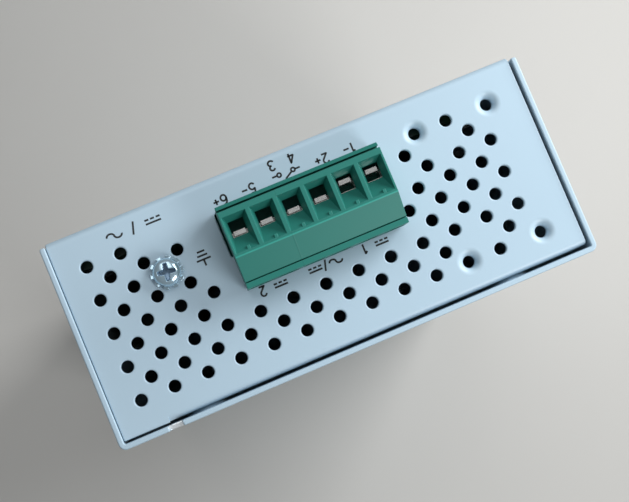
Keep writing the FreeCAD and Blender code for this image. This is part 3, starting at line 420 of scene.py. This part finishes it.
def make_edge_weights(name, spared):
    """Bevel weights: 1 on edges sharper than a bend, 0 on all others and on those inside a spared box."""
    bench = EdgeBench(name)
    weight = bench.make("GeometryNodeInputMeshEdgeAngle") > SHARP_ANGLE
    if spared:
        inside = 1.0
        for axis, low, high in zip("XYZ", *spared):
            inside = inside * (abs(bench.axis(axis) - (low + high) / 2) < (high - low) / 2)
        weight = weight * (1 - inside)
    bench.give(bench.make("GeometryNodeStoreNamedAttribute", {"data_type": "FLOAT", "domain": "EDGE"}, {
        "Geometry": bench.mesh, "Name": "bevel_weight_edge", "Value": weight}))
    return bench.tree


def soften(name, width, join_flats=True, spared=None):
    """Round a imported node's sharp edges, all live, but for those inside a spared box.

    Its loose triangles are welded, flat neighbours are joined if asked, sharp edges are given a weight
    and bevelled, and each point's normal is weighted towards its largest face.
    """
    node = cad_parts[name]
    weld = node.modifiers.new("weld", "WELD")
    weld.merge_threshold = WELD_REACH
    if join_flats:
        flats = node.modifiers.new("flats", "DECIMATE")
        flats.decimate_type = "DISSOLVE"
        flats.angle_limit = FLAT_ANGLE
    weights = node.modifiers.new("edge_weights", "NODES")
    weights.node_group = make_edge_weights(f"{name}_edge_weights", spared)
    bevel = node.modifiers.new("soft_edges", "BEVEL")
    bevel.width = width
    bevel.segments = 3 if join_flats else 2
    bevel.limit_method = "WEIGHT"
    bevel.use_clamp_overlap = False
    bevel.loop_slide = False
    bevel.miter_outer = "MITER_ARC"
    weigh = node.modifiers.new("weighted_normals", "WEIGHTED_NORMAL")
    weigh.keep_sharp = True


# Surfaces worked out as arrays


def add_piece(
        name, points, faces, material, slot,
        body="root", smooth=True, place=(0.0, 0.0, 0.0), attributes=None):
    """Put arrays of points and faces into a mesh object that rides on a body.

    Attributes are named arrays with one number for each point, which materials read.
    """
    mesh = bpy.data.meshes.new(name)
    mesh.from_pydata((points + np.asarray(place)).tolist(), [], faces)
    for label, values in (attributes or {}).items():
        mesh.attributes.new(label, "FLOAT", "POINT").data.foreach_set("value", values.ravel())
    mesh.polygons.foreach_set("use_smooth", np.full(len(mesh.polygons), smooth))
    mesh.materials.append(material)
    mesh.update()
    piece = bpy.data.objects.new(name, mesh)
    bpy.context.scene.collection.objects.link(piece)
    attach(piece, body)
    return piece


def grid_faces(rows, columns, wrap_rows=False, wrap_columns=False):
    """Quads of a grid of points, with its last row or column joined to its first where it wraps."""
    down = np.arange(rows if wrap_rows else rows - 1)
    across = np.arange(columns if wrap_columns else columns - 1)
    row, column = (index.ravel() for index in np.meshgrid(down, across, indexing="ij"))
    here, below = row * columns, (row + 1) % rows * columns
    beside = (column + 1) % columns
    return np.stack([here + column, below + column, below + beside, here + beside], axis=1)


def joined(parts):
    """Several pairs of points and faces as one pair."""
    starts = np.cumsum([0] + [len(points) for points, _ in parts[:-1]])
    points = np.concatenate([points for points, _ in parts])
    faces = np.concatenate([faces + start for (_, faces), start in zip(parts, starts)])
    return points, faces.tolist()


def turned(radius, height):
    """Points and faces of a closed turned surface, whose radius and height may change with the angle.

    Both are arrays with a row for each step down the profile and a column for each angle. The first and
    last rows are closed with flat caps.
    """
    rows, turns = radius.shape
    angle = np.linspace(0, 2 * np.pi, turns, endpoint=False)
    points = np.stack([radius * np.cos(angle), radius * np.sin(angle), height], axis=2)
    ring = np.arange(turns)
    caps = [ring.tolist(), (ring[::-1] + turns * (rows - 1)).tolist()]
    return points.reshape(-1, 3), grid_faces(rows, turns, wrap_columns=True).tolist() + caps


def screw_surface():
    """A pan head screw: a domed crown with a cross recess, then a threaded shank. Sizes are in millimetres.

    The crown's height falls from its middle by a superellipse of the radius. Two crossing arms, narrower
    and shallower towards their ends, are sunk into it, and an attribute says how far each point is inside
    them. The shank's radius swings in and out once in each pitch, along a line that climbs one pitch in
    each turn.
    """
    turns, crown_rows, thread_rows = 192, 56, 74
    head, seat, crown, brim, dome = 2.55, 0.6, 2.65, 1.05, 2.4
    recess_turn, arm_deep, arm_half, arm_taper, arm_end = np.radians(8.2), 1.15, 0.54, 0.18, 1.66
    taper_end, flank, end_flank, rise = 1.75, 0.16, 0.25, 0.55
    shank, thread_start, pitch, thread_deep, chamfer = 1.45, 0.58, 0.5, 0.17, 0.06
    thread_end, tip, tip_radius, pole_angle = -5.0, -5.25, 0.9, 0.02
    angle = np.linspace(0, 2 * np.pi, turns, endpoint=False)[None, :]
    flat = np.ones((1, turns))
    radius = (head * np.sin(np.linspace(pole_angle, np.pi / 2, crown_rows)))[:, None] * flat
    share = np.clip(radius / head, 0, 1)
    height = brim + (crown - brim) * (1 - share ** dome) ** (1 / dome)
    x = abs(radius * np.cos(angle + recess_turn))
    y = abs(radius * np.sin(angle + recess_turn))
    along, aside = np.maximum(x, y), np.minimum(x, y)
    reach = np.clip(along / taper_end, 0, 1)
    arm = np.clip((arm_half - arm_taper * reach - aside) / flank, 0, 1)
    arm = arm * np.clip((arm_end - along) / end_flank, 0, 1)
    height = height - arm * arm_deep * (1 - rise * reach ** 2)
    level = np.linspace(thread_start, thread_end, thread_rows)[:, None]
    wave = abs(((level / pitch - angle / (2 * np.pi)) % 1.0) * 2 - 1)
    radius = np.concatenate([
        radius, head * flat, (head - chamfer) * flat, shank - thread_deep * wave, tip_radius * flat])
    height = np.concatenate([height, (seat + chamfer) * flat, seat * flat, level * flat, tip * flat])
    sunk = np.zeros_like(radius)
    sunk[:crown_rows] = arm
    points, faces = turned(radius, height)
    return points * MM, faces, {"sunk": sunk}


def washer_surface():
    """A lock washer: a ring with teeth round it, each of them twisted. Sizes are in millimetres.

    The outer radius grows by a trapezoid of the angle within each tooth. Beyond the ring's body the middle
    level swings from one side of the tooth to the other, and the ring gets thinner.
    """
    turns, steps, teeth = 260, 12, 10
    inner, body, tooth_long, tooth_share, flank = 1.6, 2.46, 0.62, 0.66, 0.09
    twist_start, twist_run, lift, twist = 2.3, 0.75, 0.07, 0.21
    level, half_thick, thinning = 0.30, 0.29, 0.13
    angle = np.linspace(0, 2 * np.pi, turns, endpoint=False)[None, :]
    phase = (angle * teeth / (2 * np.pi)) % 1.0
    tooth = np.clip(np.minimum(phase, tooth_share - phase) / flank, 0, 1)
    outer = body + tooth_long * tooth
    radius = inner + (outer - inner) * np.linspace(0, 1, steps)[:, None]
    beyond = np.clip((radius - twist_start) / twist_run, 0, 1)
    side = np.clip((phase / tooth_share - 0.5) * 2, -1, 1) * tooth
    middle = level + lift * beyond + twist * beyond * side
    half = half_thick - thinning * beyond
    radius = np.concatenate([radius, radius[::-1]])
    height = np.concatenate([middle + half, (middle - half)[::-1]])
    points = np.stack([radius * np.cos(angle), radius * np.sin(angle), height], axis=2).reshape(-1, 3)
    return points * MM, grid_faces(len(radius), turns, wrap_rows=True, wrap_columns=True).tolist()


def stroke(path, half_width, low, high, closed=False):
    """A flat closed stroke: a four-cornered profile, as wide as the stroke, carried along a path.

    At each point of the path the corners stand half a width to its left and right, square to the mean
    of the path's directions before and after it, and at a low and a high level.
    """
    path = np.asarray(path, float)
    if closed:
        step = np.roll(path, -1, axis=0) - np.roll(path, 1, axis=0)
    else:
        step = np.gradient(path, axis=0)
    side = np.stack([-step[:, 1], step[:, 0]], axis=1)
    side /= np.linalg.norm(side, axis=1)[:, None]
    left, right = path + side * half_width, path - side * half_width
    rings = np.empty((len(path), 4, 3))
    rings[:, 0, :2], rings[:, 1, :2], rings[:, 2, :2], rings[:, 3, :2] = left, right, right, left
    rings[:, :2, 2], rings[:, 2:, 2] = low, high
    faces = grid_faces(len(path), 4, wrap_rows=closed, wrap_columns=True)
    if not closed:
        last = 4 * (len(path) - 1)
        faces = np.concatenate([faces, [[0, 1, 2, 3], [last + 3, last + 2, last + 1, last]]])
    return rings.reshape(-1, 3), faces


def arc(centre, radius, start, end, count=25):
    """Points of an ellipse's arc: the centre plus the cosine and sine of the angle times the radii."""
    angle = np.radians(np.linspace(start, end, count))
    return np.asarray(centre) + np.stack([np.cos(angle), np.sin(angle)], axis=1) * np.asarray(radius)


def line(*corners):
    """A straight or bent run through corners, with points added so that its corners stay sharp."""
    corners = np.asarray(corners, float)
    share = np.array([0.0, 0.02, 0.98])
    steps = corners[1:] - corners[:-1]
    runs = corners[:-1, None] + steps[:, None] * share[:, None]
    return np.concatenate([runs.reshape(-1, 2), corners[-1:]])


def chain(*runs):
    """Several runs of points as one path."""
    return np.concatenate(runs)


def mark(width, *paths, rings=()):
    """A printed mark: its width, and its paths, each with a flag that says whether it is closed."""
    return width, [(path, False) for path in paths] + [(ring, True) for ring in rings]


# The marks, each drawn in a box one high
MARKS = {
    "1": mark(0.45, line((0.08, 0.78), (0.30, 1.0), (0.30, 0.0))),
    "2": mark(0.62, chain(
        arc((0.29, 0.72), (0.27, 0.28), 165, -38), line((0.48, 0.52), (0.03, 0.02), (0.58, 0.02)))),
    "3": mark(0.62, chain(
        arc((0.28, 0.75), (0.25, 0.25), 160, -88), arc((0.28, 0.26), (0.29, 0.26), 86, -160))),
    "4": mark(0.66, line((0.62, 0.26), (0.02, 0.26), (0.46, 1.0), (0.46, 0.0))),
    "5": mark(0.62, chain(
        line((0.54, 0.98), (0.12, 0.98), (0.06, 0.50)), arc((0.28, 0.32), (0.29, 0.31), 135, -155))),
    "6": mark(0.62, chain(
        arc((0.42, 0.48), (0.40, 0.52), 80, 180), arc((0.30, 0.31), (0.28, 0.30), 180, 540))),
    "+": mark(0.66, line((0.04, 0.46), (0.62, 0.46)), line((0.33, 0.17), (0.33, 0.75))),
    "-": mark(0.66, line((0.04, 0.46), (0.62, 0.46))),
    "/": mark(0.40, line((0.02, -0.05), (0.36, 1.05))),
    "direct": mark(
        1.5, line((0.0, 0.66), (1.4, 0.66)),
        *(line((x, 0.32), (x + 0.36, 0.32)) for x in (0.0, 0.52, 1.04))),
    "alternating": mark(1.5, chain(
        arc((0.36, 0.50), (0.34, 0.26), 180, 0), arc((1.04, 0.50), (0.34, 0.26), 180, 360))),
    "contact": mark(
        3.1, line((0.0, 0.35), (0.55, 0.35)), line((0.92, 0.46), (1.75, 0.95)),
        line((2.45, 0.35), (3.0, 0.35)),
        rings=[arc((x, 0.35), (0.20, 0.20), 0, 345, 24) for x in (0.75, 2.25)]),
    "earth": mark(
        1.7, line((0.8, 1.58), (0.8, 0.88)), line((0.02, 0.88), (1.58, 0.88)),
        line((0.24, 0.44), (1.36, 0.44)), line((0.38, 0.0), (1.22, 0.0))),
    " ": mark(0.5),
}
# What is printed on the top: each line's marks, its middle on the vent grid and its height in mark heights
PRINTED = (
    (("6", "+"), (8.27, -0.60), 1.0),
    (("5", "-"), (10.0, -0.60), 1.0),
    (("4", " ", " ", "3"), (12.32, -1.36), 1.0),
    (("contact",), (12.32, -0.62), 1.0),
    (("2", "+"), (14.5, -0.60), 1.0),
    (("1", "-"), (16.2, -0.60), 1.0),
    (("direct", " ", "2"), (9.2, 5.02), 1.0),
    (("alternating", "/", "direct"), (12.35, 5.02), 1.0),
    (("direct", " ", "1"), (15.45, 5.02), 1.0),
    (("direct", " ", "/", " ", "alternating"), (3.2, -1.05), 1.15),
    (("earth",), (6.15, 1.88), 0.95),
)


def on_top(column, row):
    """A place on the top, from its column and row on the vent grid."""
    return np.array([(row - GRID_ROW_ZERO) * GRID_STEP, (column - GRID_COLUMN_ZERO) * GRID_STEP])


def print_line(words, centre, height, weight):
    """Strokes of one printed line: marks side by side around a centre, to be read from the tray's side."""
    gap = 0.16
    widths = [MARKS[word][0] for word in words]
    total = sum(widths) + gap * (len(words) - 1)
    parts = []
    start = -total / 2
    for word, width in zip(words, widths):
        for path, closed in MARKS[word][1]:
            flat = (path + np.array([start, -0.5])) * height
            spot = np.asarray(centre) + np.stack([flat[:, 1], -flat[:, 0]], axis=1)
            parts.append(stroke(spot, weight / 2, TOP - INK_SUNK, TOP + INK_PROUD, closed))
        start += width + gap
    return parts


# What a user would change


class SwitchFinish(bpy.types.PropertyGroup):
    """Colours and sheen of the switch's own surfaces."""

    case_colour: FloatVectorProperty(
        name="Case", description="Paint of the tray and cover", subtype="COLOR", size=3,
        default=(0.445, 0.582, 0.685), min=0.0, max=1.0)
    case_roughness: FloatProperty(
        name="Case Roughness", description="Sheen of the case paint", subtype="FACTOR",
        default=0.38, min=0.0, max=1.0)
    bare_steel_colour: FloatVectorProperty(
        name="Bare Steel", description="Steel where the paint is scuffed off", subtype="COLOR", size=3,
        default=(0.86, 0.88, 0.89), min=0.0, max=1.0)
    plug_colour: FloatVectorProperty(
        name="Plug", description="Plastic of the terminal plug and header", subtype="COLOR", size=3,
        default=(0.020, 0.185, 0.152), min=0.0, max=1.0)
    zinc_colour: FloatVectorProperty(
        name="Zinc", description="Bright zinc plate of the screws", subtype="COLOR", size=3,
        default=(0.74, 0.79, 0.84), min=0.0, max=1.0)
    earth_colour: FloatVectorProperty(
        name="Earth Screw", description="Bluish zinc of the earth screw and washer",
        subtype="COLOR", size=3, default=(0.57, 0.76, 0.88), min=0.0, max=1.0)
    clamp_colour: FloatVectorProperty(
        name="Clamps", description="Nickel plate of the wire clamps", subtype="COLOR", size=3,
        default=(0.86, 0.85, 0.82), min=0.0, max=1.0)
    board_colour: FloatVectorProperty(
        name="Board", description="Solder mask of the board", subtype="COLOR", size=3,
        default=(0.004, 0.030, 0.013), min=0.0, max=1.0)
    lens_colour: FloatVectorProperty(
        name="Lights", description="Tint of the status lights", subtype="COLOR", size=3,
        default=(0.14, 0.42, 0.10), min=0.0, max=1.0)
    edge_round: FloatProperty(
        name="Edge Round", description="Width of the rounded sheet edges", unit="LENGTH",
        default=0.26 * MM, min=0.02 * MM, max=0.3 * MM)
    plug_edge_round: FloatProperty(
        name="Plug Edge Round", description="Width of the plug's rounded edges", unit="LENGTH",
        default=0.07 * MM, min=0.02 * MM, max=0.08 * MM)


class SwitchPrint(bpy.types.PropertyGroup):
    """Ink and sizes of the printed marks."""

    ink_colour: FloatVectorProperty(
        name="Ink", description="Colour of the printed marks", subtype="COLOR", size=3,
        default=(0.012, 0.014, 0.016), min=0.0, max=1.0)
    mark_height: FloatProperty(
        name="Mark Height", description="Height of the numbers", unit="LENGTH",
        default=1.8 * MM, min=0.5 * MM, max=4 * MM)
    stroke_width: FloatProperty(
        name="Stroke", description="Width of the printed strokes", unit="LENGTH",
        default=0.34 * MM, min=0.1 * MM, max=1 * MM)


class SwitchStage(bpy.types.PropertyGroup):
    """Floor, light and camera."""

    floor_colour: FloatVectorProperty(
        name="Floor", description="Colour of the plain floor", subtype="COLOR", size=3,
        default=(0.62, 0.60, 0.57), min=0.0, max=1.0)
    key_power: FloatProperty(
        name="Key Light", description="Power of the low soft light from the rear", unit="POWER",
        default=1.04, min=0.0, max=100.0)
    side_power: FloatProperty(
        name="Side Light", description="Power of the low soft light from the cover's side", unit="POWER",
        default=0.36, min=0.0, max=100.0)
    fill_power: FloatProperty(
        name="Fill Light", description="Power of the high soft light from the tray's side", unit="POWER",
        default=0.22, min=0.0, max=100.0)
    sky_strength: FloatProperty(
        name="Sky", description="Strength of the even light from all round",
        default=0.19, min=0.0, max=3.0)
    lens: FloatProperty(
        name="Lens", description="Focal length of the camera", unit="CAMERA",
        default=65.1, min=10.0, max=200.0)


def settings(context):
    """The three groups of settings of a scene."""
    scene = context.scene
    return scene.switch_finish, scene.switch_print, scene.switch_stage


# Operators


class SWITCH_OT_paint_case(bpy.types.Operator):
    """Paint the folded tray and cover, and round their cut edges"""

    bl_idname = "switch.paint_case"
    bl_label = "Paint Case"

    def execute(self, context):
        finish = settings(context)[0]
        finish_nodes(["chassis_tray", "cover"], make_case_paint(finish))
        # Spared are a thin slab where the lips start, and a box round the socket openings
        lip_ends = ((-1.0, LIP_START - 0.05 * MM, -1.0), (1.0, LIP_START + 0.05 * MM, 1.0))
        soften("chassis_tray", finish.edge_round, spared=lip_ends)
        low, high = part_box("jack_shields")
        front_high = Vector((high.x, low.y, high.z))
        openings = (low - Vector((1, 2, 1)) * MM, front_high + Vector((1, 3, 1)) * MM)
        soften("cover", finish.edge_round, spared=openings)
        return {"FINISHED"}


class SWITCH_OT_mould_terminal_block(bpy.types.Operator):
    """Give the plug and its header their moulded plastic, and round the plug's edges"""

    bl_idname = "switch.mould_terminal_block"
    bl_label = "Mould Terminal Block"

    def execute(self, context):
        finish = settings(context)[0]
        seam_y = on_top(PLUG_SEAM_COLUMN, 0.0)[1]
        ridge = (PLUG_RIDGE_X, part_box("terminal_plug")[1].z)
        plastic = make_moulded(
            "plug_plastic", colour(finish.plug_colour), roughness=0.40, seam_y=seam_y, ridge=ridge)
        finish_nodes(["terminal_plug", "terminal_header"], plastic)
        soften("terminal_plug", finish.plug_edge_round, join_flats=False)
        return {"FINISHED"}


class SWITCH_OT_plate_clamps(bpy.types.Operator):
    """Plate the wire clamps, their screws, the fork contacts and the header pins"""

    bl_idname = "switch.plate_clamps"
    bl_label = "Plate Clamps"

    def execute(self, context):
        finish = settings(context)[0]
        nickel = make_plated(
            "clamp_nickel", colour(finish.clamp_colour), roughness=0.26, stretch=(1.0, 6.0, 1.0))
        zinc = make_plated(
            "terminal_screw_zinc", colour(finish.zinc_colour), roughness=0.28, stretch=(6.0, 1.0, 1.0))
        tin = make_plated("contact_tin", CONTACT_TIN, roughness=0.32, stretch=(1.0, 1.0, 6.0))
        finish_nodes(numbered("clamp_cage", POLES), nickel)
        finish_nodes(numbered("terminal_screw", POLES), zinc)
        finish_nodes(["plug_contacts", "header_pins"], tin)
        return {"FINISHED"}


class SWITCH_OT_plate_fasteners(bpy.types.Operator):
    """Plate the case's screws, nuts, standoffs and earth fastening"""

    bl_idname = "switch.plate_fasteners"
    bl_label = "Plate Fasteners"

    def execute(self, context):
        finish = settings(context)[0]
        zinc = make_plated("bright_zinc", colour(finish.zinc_colour), roughness=0.24, metallic=0.7)
        finish_nodes(["cover_screws", "bracket_screws", "earth_screw", "earth_washer"], zinc)
        dull = make_plated("inner_zinc", INNER_ZINC, roughness=0.62)
        finish_nodes(["cover_nuts", "earth_nut", "board_screws", "board_standoffs", "bracket_nuts"], dull)
        return {"FINISHED"}


class SWITCH_OT_make_earth_fastening(bpy.types.Operator):
    """Turn the earth screw with its cross recess and thread, and stamp its twisted lock washer"""

    bl_idname = "switch.make_earth_fastening"
    bl_label = "Make Earth Fastening"

    def execute(self, context):
        finish = settings(context)[0]
        plate = {
            "base": colour(finish.earth_colour), "roughness": 0.16, "scratch_mm": 0.12, "metallic": 0.72}
        zinc = make_plated("earth_zinc", **plate)
        # The turned screw's cross recess gets a painted shade
        driven = make_plated("driven_zinc", **plate, sunk="sunk")
        low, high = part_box("earth_washer")
        centre = ((low.x + high.x) / 2, (low.y + high.y) / 2, low.z)
        points, faces, attributes = screw_surface()
        screw = add_piece(
            "earth_screw_turned", points, faces, driven, "zinc_steel", place=centre, attributes=attributes)
        washer = add_piece("earth_washer_stamped", *washer_surface(), zinc, "zinc_steel", place=centre)
        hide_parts("earth_screw")
        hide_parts("earth_washer")
        return {"FINISHED"}


class SWITCH_OT_finish_sockets(bpy.types.Operator):
    """Give the sockets their black plastic, tinned shields and gilt contacts"""

    bl_idname = "switch.finish_sockets"
    bl_label = "Finish Sockets"

    def execute(self, context):
        black = make_moulded("socket_plastic", SOCKET_BLACK, roughness=0.46)
        finish_nodes(numbered("rj45_jack", JACKS) + ["led_holder"], black)
        finish_nodes(["jack_shields"], make_shield_tin())
        gilt = make_plated("contact_gilt", CONTACT_GILT, roughness=0.22, stretch=(1.0, 5.0, 1.0))
        finish_nodes(["jack_contacts"], gilt)
        return {"FINISHED"}


class SWITCH_OT_finish_lights(bpy.types.Operator):
    """Cast the status lights in tinted resin"""

    bl_idname = "switch.finish_lights"
    bl_label = "Finish Lights"

    def execute(self, context):
        finish_nodes(["status_leds"], make_lens(settings(context)[0]))
        return {"FINISHED"}


class SWITCH_OT_finish_board(bpy.types.Operator):
    """Finish the board and the parts that stand on it"""

    bl_idname = "switch.finish_board"
    bl_label = "Finish Board"

    def execute(self, context):
        finish = settings(context)[0]
        finish_nodes(["main_board"], make_board_laminate(finish))
        epoxy = make_moulded("chip_epoxy", CHIP_EPOXY, roughness=0.55)
        finish_nodes(["switch_chip", "line_transformers", "bridge_rectifiers", "power_inductor"], epoxy)
        finish_nodes(["alarm_relay"], make_moulded("relay_case", RELAY_CASE, roughness=0.35))
        sleeve = make_moulded("capacitor_sleeve", CAPACITOR_SLEEVE, roughness=0.30)
        finish_nodes(["filter_capacitors"], sleeve)
        aluminium = make_plated("sink_aluminium", SINK_ALUMINIUM, roughness=0.42, stretch=(1.0, 1.0, 8.0))
        finish_nodes(["heat_sink"], aluminium)
        finish_nodes(["crystal"], make_plated("crystal_can", CRYSTAL_CAN, roughness=0.25))
        return {"FINISHED"}


class SWITCH_OT_finish_bracket(bpy.types.Operator):
    """Plate the rail bracket and its wire spring"""

    bl_idname = "switch.finish_bracket"
    bl_label = "Finish Bracket"

    def execute(self, context):
        finish = settings(context)[0]
        zinc = make_plated("bracket_zinc", BRACKET_ZINC, roughness=0.36, stretch=(4.0, 1.0, 1.0))
        finish_nodes(["rail_bracket"], zinc)
        wire = make_plated("spring_wire", SPRING_WIRE, roughness=0.28, stretch=(8.0, 1.0, 1.0))
        finish_nodes(["rail_spring"], wire)
        soften("rail_bracket", finish.edge_round)
        return {"FINISHED"}


class SWITCH_OT_print_marks(bpy.types.Operator):
    """Print the pole numbers, signs and symbols on the top"""

    bl_idname = "switch.print_marks"
    bl_label = "Print Marks"

    def execute(self, context):
        printing = settings(context)[1]
        parts = []
        for words, spot, size in PRINTED:
            height = size * printing.mark_height
            parts += print_line(words, on_top(*spot), height, printing.stroke_width)
        points, faces = joined(parts)
        add_piece("printed_marks", points, faces, make_ink(printing), "case_paint", smooth=False)
        return {"FINISHED"}


class SWITCH_OT_set_stage(bpy.types.Operator):
    """Lay a pale floor and set three soft lights, an even sky and the camera"""

    bl_idname = "switch.set_stage"
    bl_label = "Set Stage"

    def lay_floor(self, scene, stage):
        """Lay a square floor under the case."""
        mesh = bpy.data.meshes.new("floor")
        corners = np.array([[-1, -1, 0], [1, -1, 0], [1, 1, 0], [-1, 1, 0]]) * FLOOR_HALF
        mesh.from_pydata(corners.tolist(), [], [[0, 1, 2, 3]])
        mesh.materials.append(make_floor_material(stage))
        floor = bpy.data.objects.new("floor", mesh)
        scene.collection.objects.link(floor)

    def set_sky(self, scene, stage):
        """Set an even light from all round."""
        world = bpy.data.worlds.new("even_sky")
        world.use_nodes = True
        sky = next(node for node in world.node_tree.nodes if node.type == "BACKGROUND")
        sky.inputs["Color"].default_value = SKY_COLOUR
        sky.inputs["Strength"].default_value = stage.sky_strength
        scene.world = world

    def hang_light(self, scene, name, place, size, power):
        """Hang a square soft light at a place above the case's top, turned to the top's middle."""
        lamp = bpy.data.lights.new(name, "AREA")
        lamp.shape = "SQUARE"
        lamp.size = size
        lamp.energy = power
        lamp.color = LIGHT_COLOUR
        light = bpy.data.objects.new(name, lamp)
        light.location = Vector(place) + Vector((0, 0, TOP))
        light.rotation_mode = "QUATERNION"
        light.rotation_quaternion = (-Vector(place)).to_track_quat("-Z", "Y")
        scene.collection.objects.link(light)

    def set_camera(self, scene, stage):
        """Put the camera over the top, squared from its directions to the right and backwards."""
        view = bpy.data.cameras.new("camera")
        view.sensor_width = 36.0
        view.lens = stage.lens
        view.clip_start = 0.01
        camera = bpy.data.objects.new("camera", view)
        back = Vector(CAMERA_BACK).normalized()
        up = back.cross(Vector(CAMERA_RIGHT)).normalized()
        turn = Matrix((up.cross(back), up, back)).transposed()
        camera.matrix_world = Matrix.Translation(CAMERA_PLACE) @ turn.to_4x4()
        scene.collection.objects.link(camera)
        scene.camera = camera

    def execute(self, context):
        scene = context.scene
        stage = settings(context)[2]
        scene.view_settings.view_transform = "Standard"
        self.lay_floor(scene, stage)
        self.set_sky(scene, stage)
        for name, place, size, power in LIGHTS:
            self.hang_light(scene, name, place, size, getattr(stage, power))
        self.set_camera(scene, stage)
        return {"FINISHED"}


OPERATORS = (
    SWITCH_OT_paint_case,
    SWITCH_OT_mould_terminal_block,
    SWITCH_OT_plate_clamps,
    SWITCH_OT_plate_fasteners,
    SWITCH_OT_make_earth_fastening,
    SWITCH_OT_finish_sockets,
    SWITCH_OT_finish_lights,
    SWITCH_OT_finish_board,
    SWITCH_OT_finish_bracket,
    SWITCH_OT_print_marks,
    SWITCH_OT_set_stage,
)


class SWITCH_PT_finishes(bpy.types.Panel):
    """Lists the settings and the operators"""

    bl_idname = "SWITCH_PT_finishes"
    bl_label = "Network Switch"
    bl_space_type = "VIEW_3D"
    bl_region_type = "UI"
    bl_category = "Switch"

    def draw(self, context):
        for group in settings(context):
            box = self.layout.box()
            for name in group.__annotations__:
                box.prop(group, name)
        for operator in OPERATORS:
            self.layout.operator(operator.bl_idname)


GROUPS = {"switch_finish": SwitchFinish, "switch_print": SwitchPrint, "switch_stage": SwitchStage}


def register():
    for kind in (*GROUPS.values(), *OPERATORS, SWITCH_PT_finishes):
        bpy.utils.register_class(kind)
    for name, group in GROUPS.items():
        setattr(bpy.types.Scene, name, PointerProperty(type=group))


def unregister():
    for name in GROUPS:
        delattr(bpy.types.Scene, name)
    for kind in reversed((*GROUPS.values(), *OPERATORS, SWITCH_PT_finishes)):
        bpy.utils.unregister_class(kind)


def main():
    register()
    for operator in OPERATORS:
        family, name = operator.bl_idname.split(".")
        getattr(getattr(bpy.ops, family), name)()


if __name__ == "__main__":
    main()
